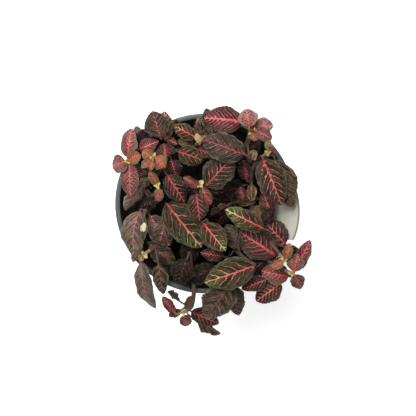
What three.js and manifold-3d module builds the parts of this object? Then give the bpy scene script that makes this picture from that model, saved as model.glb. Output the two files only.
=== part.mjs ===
// Potted nerve plant: a red-veined Fittonia in a tapered nursery pot, with a blank plant tag.
// Millimetres, +Z up, the origin at the middle of the pot's foot. Seen from above, +X is to the
// right and +Y away.
import * as THREE from "three";
import { mergeVertices } from "three/addons/utils/BufferGeometryUtils.js";
import Module from "manifold-3d";

const wasm = await Module();
wasm.setup();

// Driving dimensions
const POT_ACROSS = 120;
const POT_HEIGHT = 100;
const POT_WALL = 1.4;
const POT_SIDES = 40;
const RIM_WIDTH = 3.4;
const RIM_DEPTH = 9;
const FOOT_ACROSS = 84;
const FOOT_HEIGHT = 3;
const FOOT_WIDTH = 3.5;
const FOOT_DISC_RADIUS = 15;
const DRAIN_HOLES = 6;
const DRAIN_ACROSS = 7;
const SOIL_BELOW_RIM = 14;
const SOIL_SWELL = 0.9;
const STEM_ACROSS = 3;
const STEM_SIDES = 5;
const STEM_SET_IN = 12;
const CROWN_STEM_ACROSS = 2.2;
const CROWN_STEM_LONG = 5;
const STALK_ACROSS = 1.3;
const BLADE_THICK = 0.8;
const TAG_WIDTH = 38;
const TAG_THICK = 0.8;
const TAG_END_RADIUS = 41;
const SEAT_GAP = 0.3;
const CROWN_GAP = 0.5;

// Where the tag leaves the soil, its lean out of the upright, and its parts along it
const TAG_FOOT = [32.4, -5, 86];
const TAG_LEAN = THREE.MathUtils.degToRad(50);
const TAG_ABOVE = 38.5;
const TAG_NECK = 15;
const TAG_STAKE = 8;
const TAG_SET_IN = 14;

const POT_RADIUS = POT_ACROSS / 2;
const RIM_INNER = POT_RADIUS - RIM_WIDTH;
const SOIL_HEIGHT = POT_HEIGHT - SOIL_BELOW_RIM;

// The plan of the leaves is drawn as an eye on the pot's axis sees it, in the plane of the rim.
// A point off that plane lies on the line of sight through its place in the plan.
const EYE_HEIGHT = 700;

function inSight([x, y], z) {
  const spread = (EYE_HEIGHT - z) / (EYE_HEIGHT - POT_HEIGHT);
  return new THREE.Vector3(x * spread, y * spread, z);
}

// What the kinds of leaf have in common. cup lifts the margins of a blade above its midrib, or
// hangs them below it; ruffle is the height of the waves along the margin; fine blades have
// more rows and strips of faces.
const KINDS = {
  mature: { cup: -1.4, ruffle: 0.5, rows: [0, 0.12, 0.34, 0.6, 0.84, 1], strips: 4 },
  green: { cup: -1.2, ruffle: 0.5, rows: [0, 0.12, 0.34, 0.6, 0.84, 1], strips: 4 },
  olive: { cup: -1.4, ruffle: 0.6, rows: [0, 0.12, 0.34, 0.6, 0.84, 1], strips: 4 },
  deep: { cup: -1, ruffle: 0.4, rows: [0, 0.15, 0.5, 0.84, 1], strips: 2 },
  rose: { cup: 0.8, ruffle: 0.2, rows: [0, 0.15, 0.45, 0.8, 1], strips: 4 },
  ember: { cup: 0.9, ruffle: 0, rows: [0, 0.2, 0.5, 0.82, 1], strips: 2 },
  pale: { cup: 0.8, ruffle: 0, rows: [0, 0.2, 0.5, 0.82, 1], strips: 2 },
  withered: { cup: 1.4, ruffle: 0.5, rows: [0, 0.2, 0.5, 0.82, 1], strips: 2 },
};

// One leaf. foot and tip are where the blade starts and ends in the plan, wide its width, high
// the height of its foot above the table and rise how much higher the tip is. arch lifts the
// middle of the midrib, roll leans the blade over sideways in degrees, bow bends it in the plan.
function leaf(kind, foot, tip, wide, high, rise, { arch = 2, roll = 0, cup, bow = 0 } = {}) {
  return { kind, foot, tip, wide, high, rise, arch, roll, bow, cup: cup ?? KINDS[kind].cup, drop: 0 };
}

// The leafy stems, by their place in the pot. root is where a stem leaves the soil, path the
// points that it then passes, in the plan with their heights. leaves grow on the stem, and crown
// leaves on its young end.
const SHOOTS = {
  west: {
    root: [-30, 13],
    path: [[-38, 19, 104], [-46, 25, 114], [-51.7, 28.5, 122]],
    crown: [
      leaf("rose", [-53, 28], [-61.5, 24.5], 12.5, 122, -2, { roll: -12 }),
      leaf("ember", [-51, 29], [-43, 32.5], 8.7, 123.5, 1, { arch: 1.4, cup: 1.2 }),
      leaf("rose", [-51.7, 31], [-49, 50], 10.5, 121, -1),
      leaf("rose", [-50.3, 26.5], [-49.7, 4.7], 11.3, 121, -4, { arch: 3 }),
    ],
    leaves: [
      leaf("mature", [-43.7, 36], [-31, 41.5], 10, 117, -1),
      leaf("mature", [-47, 24], [-40.5, 12], 10, 114, -4),
      leaf("deep", [-45, 37], [-39, 49.5], 12, 113, -3),
      leaf("olive", [-43, 42], [-46, 51.5], 8, 110, -3),
    ],
  },
  north_west: {
    root: [-20, 20],
    path: [[-25, 25, 104], [-31, 29, 117], [-34.3, 31, 126]],
    crown: [
      leaf("ember", [-35.2, 31], [-41.8, 34.6], 7.4, 126, 0.5, { arch: 1 }),
      leaf("ember", [-36.3, 29], [-42.3, 24], 5, 125, -1, { arch: 1 }),
      leaf("ember", [-33.5, 30.5], [-26.3, 24], 10.5, 127, 0, { arch: 1.5, cup: -1 }),
      leaf("ember", [-35, 28], [-36.3, 22], 3.6, 123.5, -1, { arch: 1 }),
    ],
    leaves: [
      leaf("mature", [-25.7, 30.5], [-27.7, 40], 13.5, 121, -3),
      leaf("mature", [-22.5, 29], [-19, 17.5], 12, 119, -4),
      leaf("deep", [-29, 22], [-35, 14], 9, 108, -2),
      leaf("mature", [-25.3, 19], [-13.5, 1], 14.5, 121, -4, { arch: 3 }),
    ],
  },
  inner_west: {
    root: [-23, 8],
    path: [[-26, 9, 104], [-31, 11.2, 114], [-31.8, 11.8, 124]],
    crown: [
      leaf("ember", [-31.7, 12.7], [-37, 21.5], 6, 124, 1.5, { arch: 1 }),
      leaf("ember", [-31, 10], [-30.7, 1.3], 6.3, 124, -1, { arch: 1 }),
    ],
    leaves: [
      leaf("olive", [-37.7, 17], [-53, -4.7], 13, 115, -7, { roll: 50, arch: 3 }),
      leaf("green", [-36.5, 2.7], [-40.5, 9], 7, 112, 0, { roll: 50, arch: 1 }),
      leaf("mature", [-20, 6], [-12, -6], 11, 110, -4),
      leaf("deep", [-22, 11], [-16, 20], 10, 104, -2),
    ],
  },
  far_west: {
    root: [-34, -6],
    path: [[-37, -5.5, 103], [-40, -5, 113]],
    crown: [],
    leaves: [
      leaf("mature", [-43.5, -5], [-46.5, -36], 17, 114, -7, { arch: 4, bow: 2.5 }),
      leaf("deep", [-33, 2], [-43.5, -2.5], 9.5, 112, -4),
      leaf("mature", [-36.5, -8.5], [-23.5, -28], 16.5, 113, -3, { arch: 3 }),
      leaf("olive", [-43, -26], [-48, -39], 8, 106, -4),
      leaf("pale", [-41.7, -19], [-40.3, -12.7], 3.6, 120, 0.5, { arch: 0.6 }),
    ],
  },
  mid_west: {
    root: [-22, -8],
    path: [[-24, -5, 104], [-25.5, -1, 115]],
    crown: [],
    leaves: [
      leaf("green", [-25.7, 0], [-2.3, -29], 21.5, 117.5, 1, { arch: 3 }),
      leaf("deep", [-18, -10], [-14, -26], 12, 108, -4),
      leaf("deep", [-26, -12], [-30, -25], 12, 107, -3),
    ],
  },
  south_west: {
    root: [-25, -22],
    path: [[-29, -26, 101], [-35, -30, 108], [-41, -34, 111]],
    crown: [
      leaf("ember", [-41.5, -34.5], [-43.5, -38], 4, 112.5, 0, { arch: 0.5 }),
      leaf("pale", [-40.5, -34], [-38.5, -36.5], 2.6, 113, 0.5, { arch: 0.5 }),
    ],
    leaves: [
      leaf("olive", [-42.3, -39], [-33, -70], 11.5, 106.5, -26, { arch: 9, bow: 2.5 }),
      leaf("olive", [-31, -40.5], [-27.7, -60.5], 10, 104.5, -7, { arch: 4 }),
      leaf("olive", [-37, -27], [-20, -40.5], 13, 108, -2, { arch: 3 }),
      leaf("deep", [-28, -29], [-24, -49], 13, 102, 0),
    ],
  },
  north: {
    root: [-16, 32],
    path: [[-19, 37, 103], [-24, 43.5, 113], [-28.5, 45, 120]],
    crown: [],
    leaves: [
      leaf("mature", [-29.7, 44], [-35, 61.5], 16, 124, 2),
      leaf("green", [-26.5, 43], [-27, 61.5], 11, 119.5, -1),
      leaf("green", [-26.2, 43.4], [-18.6, 39.6], 5.2, 117, -1, { arch: 1 }),
      leaf("deep", [-21, 44], [-19, 56], 10, 110, -2),
    ],
  },
  inner_north: {
    root: [-6, 26],
    path: [[-7, 32, 103], [-6, 38, 114], [-4, 42, 122]],
    crown: [
      leaf("pale", [-3.2, 40.5], [-6, 46.5], 4.5, 123.5, 1, { arch: 0.8 }),
      leaf("ember", [-2.5, 41], [-0.5, 45.5], 4.5, 123, 0.5, { arch: 0.8 }),
    ],
    leaves: [
      leaf("green", [-6, 44], [-21.7, 52.3], 9.5, 117, -1.5),
      leaf("green", [-6.3, 49.5], [-4.3, 57], 7, 112, 1, { roll: 45, arch: 1 }),
      leaf("olive", [-17.7, 34.5], [-0.7, 28.7], 13.5, 118.5, -2),
      leaf("green", [-5.5, 36.3], [8, 30.8], 7.5, 121, -2, { roll: 42, arch: 1.5 }),
      leaf("withered", [-8, 38.5], [-18, 42], 6, 113, 0),
      leaf("olive", [-1, 47.5], [-11, 47.5], 7.5, 116, -3),
      leaf("olive", [6, 43], [0.7, 63.5], 11, 122, 0),
    ],
  },
  centre: {
    root: [-3, 3],
    path: [[-3, 5, 104], [-4, 9, 120], [-3.7, 12.5, 132]],
    crown: [
      leaf("rose", [-4.5, 11.5], [-14.5, 17.5], 6, 132, 1, { cup: 1.8, arch: 1.4 }),
      leaf("rose", [-2, 10.5], [3.7, -0.7], 6.8, 131.5, -2, { cup: 1.4, arch: 1.4 }),
      leaf("pale", [-3.5, 12.5], [-1.5, 15.5], 3.2, 133, 0.5, { arch: 0.5 }),
    ],
    leaves: [
      leaf("mature", [0.5, 11.5], [18.5, 31], 19, 126.5, -2, { arch: 3 }),
      leaf("mature", [-5.7, 6.7], [-3.5, -11.5], 14, 126, -5, { arch: 2.4 }),
      leaf("deep", [-7, 8], [-19, 10], 12, 110, -3),
      leaf("deep", [1, 2], [12, -8], 13, 108, -4),
    ],
  },
  north_east: {
    root: [16, 24],
    path: [[21, 30, 106], [27, 38, 120], [31, 48, 132]],
    crown: [
      leaf("ember", [31, 49], [30.3, 56], 5, 133, 1, { arch: 0.8 }),
      leaf("ember", [31.3, 47], [34.5, 42], 5, 132.5, -0.5, { arch: 0.8 }),
      leaf("rose", [29.3, 51.5], [27.5, 63], 11.5, 129.5, -4, { arch: 2.6 }),
      leaf("rose", [33, 52], [45.3, 51.3], 10.5, 130, -3, { roll: -10 }),
      leaf("rose", [34, 48.5], [44.6, 43], 8, 129, -2),
    ],
    leaves: [
      leaf("mature", [26, 32.7], [-1.7, 42.7], 19, 130, 2, { arch: 3 }),
      leaf("mature", [25, 54.5], [-0.5, 57], 17.5, 125.5, -2, { arch: 3 }),
      leaf("deep", [27.5, 35.5], [36.5, 41.5], 10.5, 119, -2),
      leaf("withered", [31, 29.5], [33, 35.5], 6, 122, 1, { arch: 1 }),
    ],
  },
  east: {
    root: [30, 2],
    path: [[30.3, 12, 106], [32, 24, 116], [38, 31, 120], [42, 34, 122.5]],
    crown: [
      leaf("pale", [42, 35.5], [42.5, 43], 4.8, 122, 1.5, { arch: 0.8 }),
      leaf("ember", [43.5, 34.8], [47.2, 34.2], 2.6, 123, 0, { arch: 0.4 }),
      leaf("ember", [43, 35.8], [45.2, 37.6], 3, 123.5, 0.5, { arch: 0.4 }),
    ],
    leaves: [
      leaf("mature", [38.5, 29.5], [51, -1], 19, 126, -5, { arch: 4 }),
      leaf("olive", [46.5, 29], [58.5, -2.5], 17, 120, -4, { arch: 3 }),
      leaf("mature", [28, 15.5], [25.5, 29], 9, 112, 0),
      leaf("deep", [26, 12], [2.3, 4.7], 14, 107, -3),
      leaf("withered", [31, 12.5], [31, 2], 6.5, 112.5, -5, { arch: 1.4, cup: 1.6 }),
      leaf("withered", [34, 2.5], [22, -0.7], 5, 107, 0, { arch: 1 }),
    ],
  },
  inner_east: {
    root: [14, -3],
    path: [[19, 0, 100], [24.5, 2, 107]],
    crown: [],
    leaves: [
      leaf("mature", [25, 2.5], [24, 11], 8.5, 109.5, 0.5, { arch: 1 }),
      leaf("deep", [18, 2], [8, -14], 12, 104, -3),
      leaf("olive", [14.5, -1.5], [4, -7.5], 7, 112, 1, { roll: 45, arch: 1 }),
    ],
  },
  east_low: {
    root: [30, -12],
    path: [[37, -18, 103], [46, -29, 112], [53, -38, 119]],
    crown: [
      leaf("ember", [53.8, -37], [56.4, -26.5], 6.3, 119.5, 1, { arch: 1.2 }),
      leaf("ember", [52, -38.7], [44.2, -42.5], 6.3, 120, 0, { arch: 1 }),
      leaf("pale", [53, -38], [51, -35.5], 2.4, 120, 1, { arch: 0.4 }),
    ],
    leaves: [
      leaf("green", [39, -16.7], [13.7, -4], 13, 123, 3, { arch: 3 }),
      leaf("mature", [47, -34.5], [21.7, -18], 20, 119, 0, { arch: 3 }),
      leaf("mature", [53.5, -27], [39, -11.5], 16.5, 114, -2),
      leaf("mature", [44, -7], [38.3, 8], 10, 112, 0),
      leaf("withered", [42, -9.5], [32.5, -2.5], 9, 109, 0, { arch: 1 }),
      leaf("deep", [38, -13], [46, -3], 8, 112, -1, { arch: 1 }),
    ],
  },
  south_east: {
    root: [26, -24],
    path: [[36, -33, 102], [48, -42, 109], [57.7, -46.5, 116]],
    crown: [
      leaf("ember", [59.2, -45.3], [61.7, -33.3], 10.5, 118.5, 0.5, { arch: 2, cup: -1 }),
      leaf("ember", [59.7, -47.5], [63.7, -57], 10, 117.5, -1, { arch: 2, cup: -1 }),
      leaf("pale", [58, -46], [60, -44.5], 2.6, 118.5, 0.6, { arch: 0.4 }),
    ],
    leaves: [
      leaf("rose", [55.5, -48.5], [37.7, -45], 14, 113, 0, { arch: 2.4 }),
      leaf("rose", [60.5, -43.5], [70, -24.5], 9.5, 111, 1),
      leaf("mature", [50.5, -53], [34, -65], 15.5, 106, -5),
      leaf("mature", [41, -50.5], [24.3, -57], 10, 108, -3),
      leaf("deep", [50, -36], [62, -30], 12, 107, -4),
      leaf("deep", [39, -38], [25, -52], 15, 104, -1),
    ],
  },
  south: {
    root: [14, -22],
    path: [[19, -29, 104], [27, -37, 114], [33, -41, 117.5]],
    crown: [],
    leaves: [
      leaf("green", [33, -41.3], [-0.3, -52.7], 20, 117, -2, { arch: 4 }),
      leaf("mature", [12.5, -35.3], [-3, -32.7], 9, 111, 0),
      leaf("olive", [22.5, -30], [14.3, -14], 12, 112, 1),
    ],
  },
  inner_south: {
    root: [0, -12],
    path: [[1, -12, 104], [0.8, -11.6, 119]],
    crown: [],
    leaves: [
      leaf("green", [-1, -13.3], [13.7, -31.5], 15, 123, -1, { arch: 3 }),
      leaf("deep", [-6, -21], [-12.5, -41], 13, 109, -3),
      leaf("deep", [4, -20], [4.5, -41], 12, 105, -3),
    ],
  },
  south_low: {
    root: [12, -38],
    path: [[13, -46, 102], [15, -54, 107]],
    crown: [],
    leaves: [
      leaf("olive", [17, -54.5], [0, -75.5], 21.5, 108, -16, { arch: 5 }),
      leaf("deep", [7, -42.5], [-11.5, -51.5], 13, 108, 0, { arch: 1.5 }),
      leaf("mature", [17.5, -55], [22.5, -74.5], 13.5, 106, -12, { arch: 3 }),
    ],
  },
  hanging: {
    root: [-8, -38],
    path: [[-8, -47, 101], [-7.5, -60, 104.5], [-9, -68.5, 98], [-14.3, -72.5, 90]],
    crown: [
      leaf("rose", [-20, -72.5], [-28.3, -62], 7, 89, 2),
      leaf("rose", [-14, -74.5], [-11.7, -81.5], 8.5, 88.5, -5),
    ],
    leaves: [
      leaf("olive", [-17, -65], [-25, -58.8], 7.5, 96, -4, { roll: 50, arch: 1 }),
      leaf("deep", [-5.5, -42], [-9.5, -57], 12, 104, 0),
      leaf("deep", [-12, -37], [-18.5, -54], 15, 114, -2, { arch: 3 }),
      leaf("mature", [-9, -72], [9.3, -80], 12.5, 88, -5),
      leaf("olive", [-5, -78], [10.3, -86.7], 9, 84, -6, { roll: 48 }),
      leaf("withered", [-8.5, -61.5], [-13, -69.5], 5, 108, -5, { arch: 1 }),
      leaf("withered", [-16, -71], [-24, -75], 5.5, 86, -3, { arch: 1 }),
    ],
  },
};

// Half-width of a blade along its midrib, from foot to tip, as a share of the greatest: an
// ovate leaf, widest before its middle, with a blunt point.
const OUTLINE_FOOT = 0.55;
const OUTLINE_TIP = 0.7;
const WIDEST_AT = OUTLINE_FOOT / (OUTLINE_FOOT + OUTLINE_TIP);
const WAVES_ALONG_MARGIN = 2.3;

function rawOutline(u) {
  return u ** OUTLINE_FOOT * (1 - u) ** OUTLINE_TIP;
}

function outline(u) {
  return rawOutline(u) / rawOutline(WIDEST_AT);
}

// The frame of a blade: its midrib as a curve, and the way across it in the plan.
function midrib(blade) {
  const foot = inSight(blade.foot, blade.high - blade.drop);
  const tip = inSight(blade.tip, blade.high - blade.drop + blade.rise);
  const across = new THREE.Vector3(tip.y - foot.y, foot.x - tip.x, 0).normalize();
  const middle = foot.clone().add(tip).multiplyScalar(0.5);
  middle.z += 2 * blade.arch;
  middle.addScaledVector(across, 2 * blade.bow);
  return { curve: new THREE.QuadraticBezierCurve3(foot, middle, tip), across };
}

// A point of the blade's middle surface: u runs from foot to tip, v from -1 to 1 across. It
// comes with the blade's upward direction there.
function surface(blade, { curve, across }, u, v) {
  const along = curve.getTangent(u);
  const up = across.clone().cross(along).normalize();
  const roll = THREE.MathUtils.degToRad(blade.roll);
  const side = across.clone().multiplyScalar(Math.cos(roll)).addScaledVector(up, Math.sin(roll));
  up.multiplyScalar(Math.cos(roll)).addScaledVector(across, -Math.sin(roll));
  const share = outline(u);
  const wave = Math.sin(2 * Math.PI * WAVES_ALONG_MARGIN * u) * Math.abs(v) ** 3;
  const lift = share * (blade.cup * v * v + KINDS[blade.kind].ruffle * wave);
  const point = curve.getPoint(u).addScaledVector(side, (v * share * blade.wide) / 2);
  return { point: point.addScaledVector(up, lift), up };
}

// A rod of even thickness along a curve.
function rod(curve, across, sides, steps) {
  const section = new THREE.Shape();
  for (let k = 0; k < sides; k += 1) {
    const angle = (2 * Math.PI * k) / sides;
    const x = (across / 2) * Math.cos(angle);
    const y = (across / 2) * Math.sin(angle);
    if (k === 0) section.moveTo(x, y);
    else section.lineTo(x, y);
  }
  section.closePath();
  return new THREE.ExtrudeGeometry(section, { steps, extrudePath: curve, bevelEnabled: false });
}

// A closed geometry as a solid that can be joined and cut.
function solid(geometry) {
  const plain = new THREE.BufferGeometry();
  plain.setAttribute("position", geometry.getAttribute("position").clone());
  if (geometry.index) plain.setIndex(geometry.index.clone());
  const merged = mergeVertices(plain, 1e-4);
  const made = new wasm.Manifold(
    new wasm.Mesh({
      numProp: 3,
      vertProperties: new Float32Array(merged.attributes.position.array),
      triVerts: new Uint32Array(merged.index.array),
    }),
  );
  return made;
}

function asGeometry(made) {
  const mesh = made.getMesh();
  const positions = new Float32Array(mesh.numVert * 3);
  for (let i = 0; i < mesh.numVert; i += 1) {
    positions.set(mesh.vertProperties.subarray(i * mesh.numProp, i * mesh.numProp + 3), i * 3);
  }
  const geometry = new THREE.BufferGeometry();
  geometry.setAttribute("position", new THREE.BufferAttribute(positions, 3));
  geometry.setIndex(new THREE.BufferAttribute(new Uint32Array(mesh.triVerts), 1));
  return geometry;
}

// A stem stands upright in its hole and then follows its path. It ends below the crown's own
// stem, where it has one.
const STEM_POINTS = 60;

function stemCurve(points) {
  return new THREE.CatmullRomCurve3(points, false, "centripetal");
}

function growStem(shoot) {
  const [x, y] = shoot.root;
  const foot = inSight([x, y], SOIL_HEIGHT);
  const upright = [SEAT_GAP - STEM_SET_IN, -STEM_SET_IN / 2, 0, 3].map(
    (above) => new THREE.Vector3(foot.x, foot.y, SOIL_HEIGHT + above),
  );
  const whole = stemCurve([...upright, ...shoot.path.map(([px, py, pz]) => inSight([px, py], pz))]);
  const points = whole.getSpacedPoints(STEM_POINTS);
  const step = whole.getLength() / STEM_POINTS;
  if (!shoot.crown.length) return { stem: points, young: [] };
  const young = Math.ceil(CROWN_STEM_LONG / step);
  const join = points[STEM_POINTS - young];
  const onward = points[STEM_POINTS - young + 1].clone().sub(join).normalize();
  return {
    stem: points.slice(0, STEM_POINTS - young + 1),
    young: [join.clone().addScaledVector(onward, CROWN_GAP), ...points.slice(STEM_POINTS - young + 1)],
  };
}

// The stalk of a leaf leaves the stem a little below the blade's foot, at the point that is
// nearest when what lies above the foot counts double, and ends at that foot. It stays clear of
// the crown above.
const STALK_DIP = 0.45;
const BELOW_CROWN = 4;

function stalkCurve(blade, stem) {
  const { curve } = midrib(blade);
  const foot = curve.getPoint(0);
  const end = stem.points.at(-1);
  let best = stem.points[0];
  let least = Infinity;
  for (const point of stem.points) {
    if (stem.crowned && point.distanceTo(end) < BELOW_CROWN) continue;
    const away = Math.hypot(point.x - foot.x, point.y - foot.y);
    const above = point.z - (foot.z - STALK_DIP * away);
    const far = Math.hypot(away, above > 0 ? 2 * above : above);
    if (far < least && point.z > SOIL_HEIGHT + 4) {
      least = far;
      best = point;
    }
  }
  const bend = foot.clone().addScaledVector(curve.getTangent(0), -0.3 * best.distanceTo(foot));
  return new THREE.CatmullRomCurve3([best, bend, foot]);
}

// A leaf as one closed surface of rings: square rings along the stalk, and then a row of points
// for each cross-section of the blade, the same above and below. The tip is a single edge.
const STALK_RINGS = 2;
// A blade narrower than this has two strips of faces.
const FINE_FROM = 10.5;

function leafRings(blade, stem) {
  const { rows } = KINDS[blade.kind];
  const strips = blade.wide < FINE_FROM ? 2 : KINDS[blade.kind].strips;
  const frame = midrib(blade);
  const stalk = stalkCurve(blade, stem);
  const roll = THREE.MathUtils.degToRad(blade.roll);
  const side = frame.across.clone();
  const rings = [];
  for (let k = STALK_RINGS; k >= 0; k -= 1) {
    const along = k === STALK_RINGS ? frame.curve.getTangent(0) : stalk.getTangent(k / STALK_RINGS);
    side.addScaledVector(along, -side.dot(along)).normalize();
    const up = side.clone().cross(along);
    const turned = side.clone().multiplyScalar(Math.cos(roll)).addScaledVector(up, Math.sin(roll));
    up.multiplyScalar(Math.cos(roll)).addScaledVector(side, -Math.sin(roll));
    const middle = stalk.getPoint(k / STALK_RINGS);
    const edges = [-1, 1].map((v) => middle.clone().addScaledVector(turned, (v * STALK_ACROSS) / 2));
    rings.unshift({ edges, ups: [up, up], thick: STALK_ACROSS });
  }
  for (const u of rows.slice(1)) {
    const count = u === 1 ? 0 : strips;
    const points = [];
    for (let j = 0; j <= count; j += 1) points.push(surface(blade, frame, u, count ? (2 * j) / count - 1 : 0));
    rings.push({ edges: points.map((p) => p.point), ups: points.map((p) => p.up), thick: BLADE_THICK });
  }
  return rings;
}

function leafGeometry(blade, stem) {
  const positions = [];
  const faces = [];
  const lay = ({ edges, ups, thick }, half) =>
    edges.map((point, j) => {
      positions.push(...point.clone().addScaledVector(ups[j], half * thick));
      return positions.length / 3 - 1;
    });
  const rings = leafRings(blade, stem).map((ring) => ({ above: lay(ring, 0.5), below: lay(ring, -0.5) }));
  // Fills the band between two rows of points, which may differ in number.
  const band = (near, far, turn) => {
    const [n, m] = [near.length - 1, far.length - 1];
    const face = (a, b, c) => faces.push(a, ...(turn ? [c, b] : [b, c]));
    let i = 0;
    let j = 0;
    while (i < n || j < m) {
      if (j < m && (i === n || (j + 0.5) / m <= (i + 0.5) / n)) {
        face(near[i], far[j + 1], far[j]);
        j += 1;
      } else {
        face(near[i], near[i + 1], far[j]);
        i += 1;
      }
    }
  };
  rings.slice(1).forEach((far, k) => {
    const near = rings[k];
    band(near.above, far.above, false);
    band(near.below, far.below, true);
    band([near.below[0], near.above[0]], [far.below[0], far.above[0]], false);
    band([near.above.at(-1), near.below.at(-1)], [far.above.at(-1), far.below.at(-1)], false);
  });
  const { above, below } = rings[0];
  faces.push(above[0], below[0], below[1], above[0], below[1], above[1]);
  const geometry = new THREE.BufferGeometry();
  geometry.setAttribute("position", new THREE.Float32BufferAttribute(positions, 3));
  geometry.setIndex(faces);
  return geometry;
}

// Room between the leaves. From the top of the plant down, a blade that would touch one above
// it sinks until it hangs clear, and one that finds no room below rises instead.
const SINK_STEP = 0.5;
const MOST_SUNK = 14;
const MOST_RAISED = 9;
const BLADE_APART = BLADE_THICK + 0.55;
const STALK_APART = (BLADE_THICK + STALK_ACROSS) / 2 + 0.4;
const OWN_STEM_FREE = 3.2;
const TEST_ROWS = 12;
const TEST_STRIPS = 6;

function testShape(blade, stem) {
  const frame = midrib(blade);
  const grid = [];
  for (let i = 0; i <= TEST_ROWS; i += 1) {
    const row = [];
    for (let j = 0; j <= TEST_STRIPS; j += 1) {
      row.push(surface(blade, frame, i / TEST_ROWS, (2 * j) / TEST_STRIPS - 1).point);
    }
    grid.push(row);
  }
  const triangles = [];
  for (let i = 0; i < TEST_ROWS; i += 2) {
    for (let j = 0; j < TEST_STRIPS; j += 2) {
      triangles.push(new THREE.Triangle(grid[i][j], grid[i][j + 2], grid[i + 2][j + 2]));
      triangles.push(new THREE.Triangle(grid[i][j], grid[i + 2][j + 2], grid[i + 2][j]));
    }
  }
  const points = grid.flat();
  const stalk = stalkCurve(blade, stem).getPoints(16);
  const ball = new THREE.Sphere().setFromPoints([...points, ...stalk]);
  return { points, triangles, stalk, ball };
}

function nearest(points, triangles, limit) {
  const target = new THREE.Vector3();
  return points.some((p) =>
    triangles.some((t) => t.closestPointToPoint(p, target).distanceTo(p) < limit),
  );
}

function inPotOrSoil(p) {
  const out = Math.hypot(p.x, p.y);
  const low = p.z < POT_HEIGHT + 1;
  if (out < RIM_INNER - 1) return p.z < SOIL_HEIGHT + SOIL_SWELL + 1;
  return out < POT_RADIUS + 1 ? low : p.z < 1;
}

function inTag(p) {
  const [x, y, z] = TAG_FOOT;
  const along = (p.x - x) * Math.sin(TAG_LEAN) + (p.z - z) * Math.cos(TAG_LEAN);
  const off = (p.x - x) * Math.cos(TAG_LEAN) - (p.z - z) * Math.sin(TAG_LEAN);
  const half = along > TAG_NECK - 2 ? TAG_WIDTH / 2 : TAG_STAKE / 2;
  return Math.abs(off) < 1.6 && along < TAG_ABOVE + 1.5 && Math.abs(p.y - y) < half + 1.5;
}

function touches(shape, node, placed, stems) {
  if ([...shape.points, ...shape.stalk].some((p) => inPotOrSoil(p) || inTag(p))) return true;
  const ownStem = stems[node].points;
  const free = (p) => ownStem.every((s) => s.distanceTo(p) > OWN_STEM_FREE);
  for (const other of placed) {
    if (!shape.ball.intersectsSphere(other.shape.ball)) continue;
    const same = other.node === node;
    const keep = (points) => (same ? points.filter(free) : points);
    if (nearest(keep(shape.points), other.shape.triangles, BLADE_APART)) return true;
    if (nearest(keep(other.shape.points), shape.triangles, BLADE_APART)) return true;
    if (nearest(keep(shape.stalk), other.shape.triangles, STALK_APART)) return true;
    if (nearest(keep(other.shape.stalk), shape.triangles, STALK_APART)) return true;
    const stalks = keep(shape.stalk);
    if (stalks.some((p) => other.shape.stalk.some((q) => p.distanceTo(q) < STALK_ACROSS + 0.6)) && !same) {
      return true;
    }
  }
  return Object.entries(stems).some(([name, { points, across }]) => {
    if (name === node) return false;
    const limit = (across + STALK_ACROSS) / 2 + 0.6;
    const close = (p) => points.some((s) => s.distanceTo(p) < limit);
    return shape.points.some(close) || shape.stalk.some(close);
  });
}

function makeRoom(growing, stems) {
  const middle = ({ blade }) => blade.high + blade.rise / 2 + blade.arch;
  const placed = [];
  for (const entry of [...growing].sort((a, b) => middle(b) - middle(a))) {
    const { blade, node } = entry;
    const steps = [];
    for (let drop = 0; drop <= MOST_SUNK; drop += SINK_STEP) steps.push(drop);
    for (let lift = SINK_STEP; lift <= MOST_RAISED; lift += SINK_STEP) steps.push(-lift);
    const found = steps.find((drop) => {
      blade.drop = drop;
      entry.shape = testShape(blade, stems[node]);
      return !touches(entry.shape, node, placed, stems);
    });
    if (found === undefined) {
      throw new Error(`no room for the ${blade.kind} leaf at ${blade.foot} of ${node}`);
    }
    placed.push(entry);
  }
}

// Pot: it stands on a ring and a flat disc, with the drain holes in the channel between them.
function potProfile() {
  const foot = FOOT_ACROSS / 2;
  const shoulder = RIM_INNER - 0.6;
  const skirt = POT_HEIGHT - RIM_DEPTH;
  return [
    [0, 0],
    [FOOT_DISC_RADIUS, 0],
    [FOOT_DISC_RADIUS + 2, FOOT_HEIGHT],
    [foot - FOOT_WIDTH, FOOT_HEIGHT],
    [foot - FOOT_WIDTH, 0],
    [foot, 0],
    [shoulder + POT_WALL, skirt],
    [POT_RADIUS - 0.8, skirt],
    [POT_RADIUS, skirt + 1],
    [POT_RADIUS, POT_HEIGHT - 1],
    [POT_RADIUS - 1, POT_HEIGHT],
    [RIM_INNER + 0.4, POT_HEIGHT],
    [RIM_INNER, POT_HEIGHT - 0.6],
    [shoulder, skirt],
    [foot - POT_WALL, FOOT_HEIGHT + POT_WALL],
    [FOOT_DISC_RADIUS + 1.2, FOOT_HEIGHT + POT_WALL],
    [FOOT_DISC_RADIUS - 0.8, POT_WALL],
    [0, POT_WALL],
  ].map(([r, z]) => new THREE.Vector2(r, z));
}

// Radius of the pot's inner wall at a height below the rim.
function innerRadius(z) {
  const low = FOOT_ACROSS / 2 - POT_WALL;
  const high = RIM_INNER - 0.6;
  const floor = FOOT_HEIGHT + POT_WALL;
  return low + ((high - low) * (z - floor)) / (POT_HEIGHT - RIM_DEPTH - floor);
}

// A shape turned about the pot's upright axis. Lathes in three.js turn about Y.
function turned(profile, sides) {
  return new THREE.LatheGeometry(profile, sides).rotateX(Math.PI / 2);
}

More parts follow.
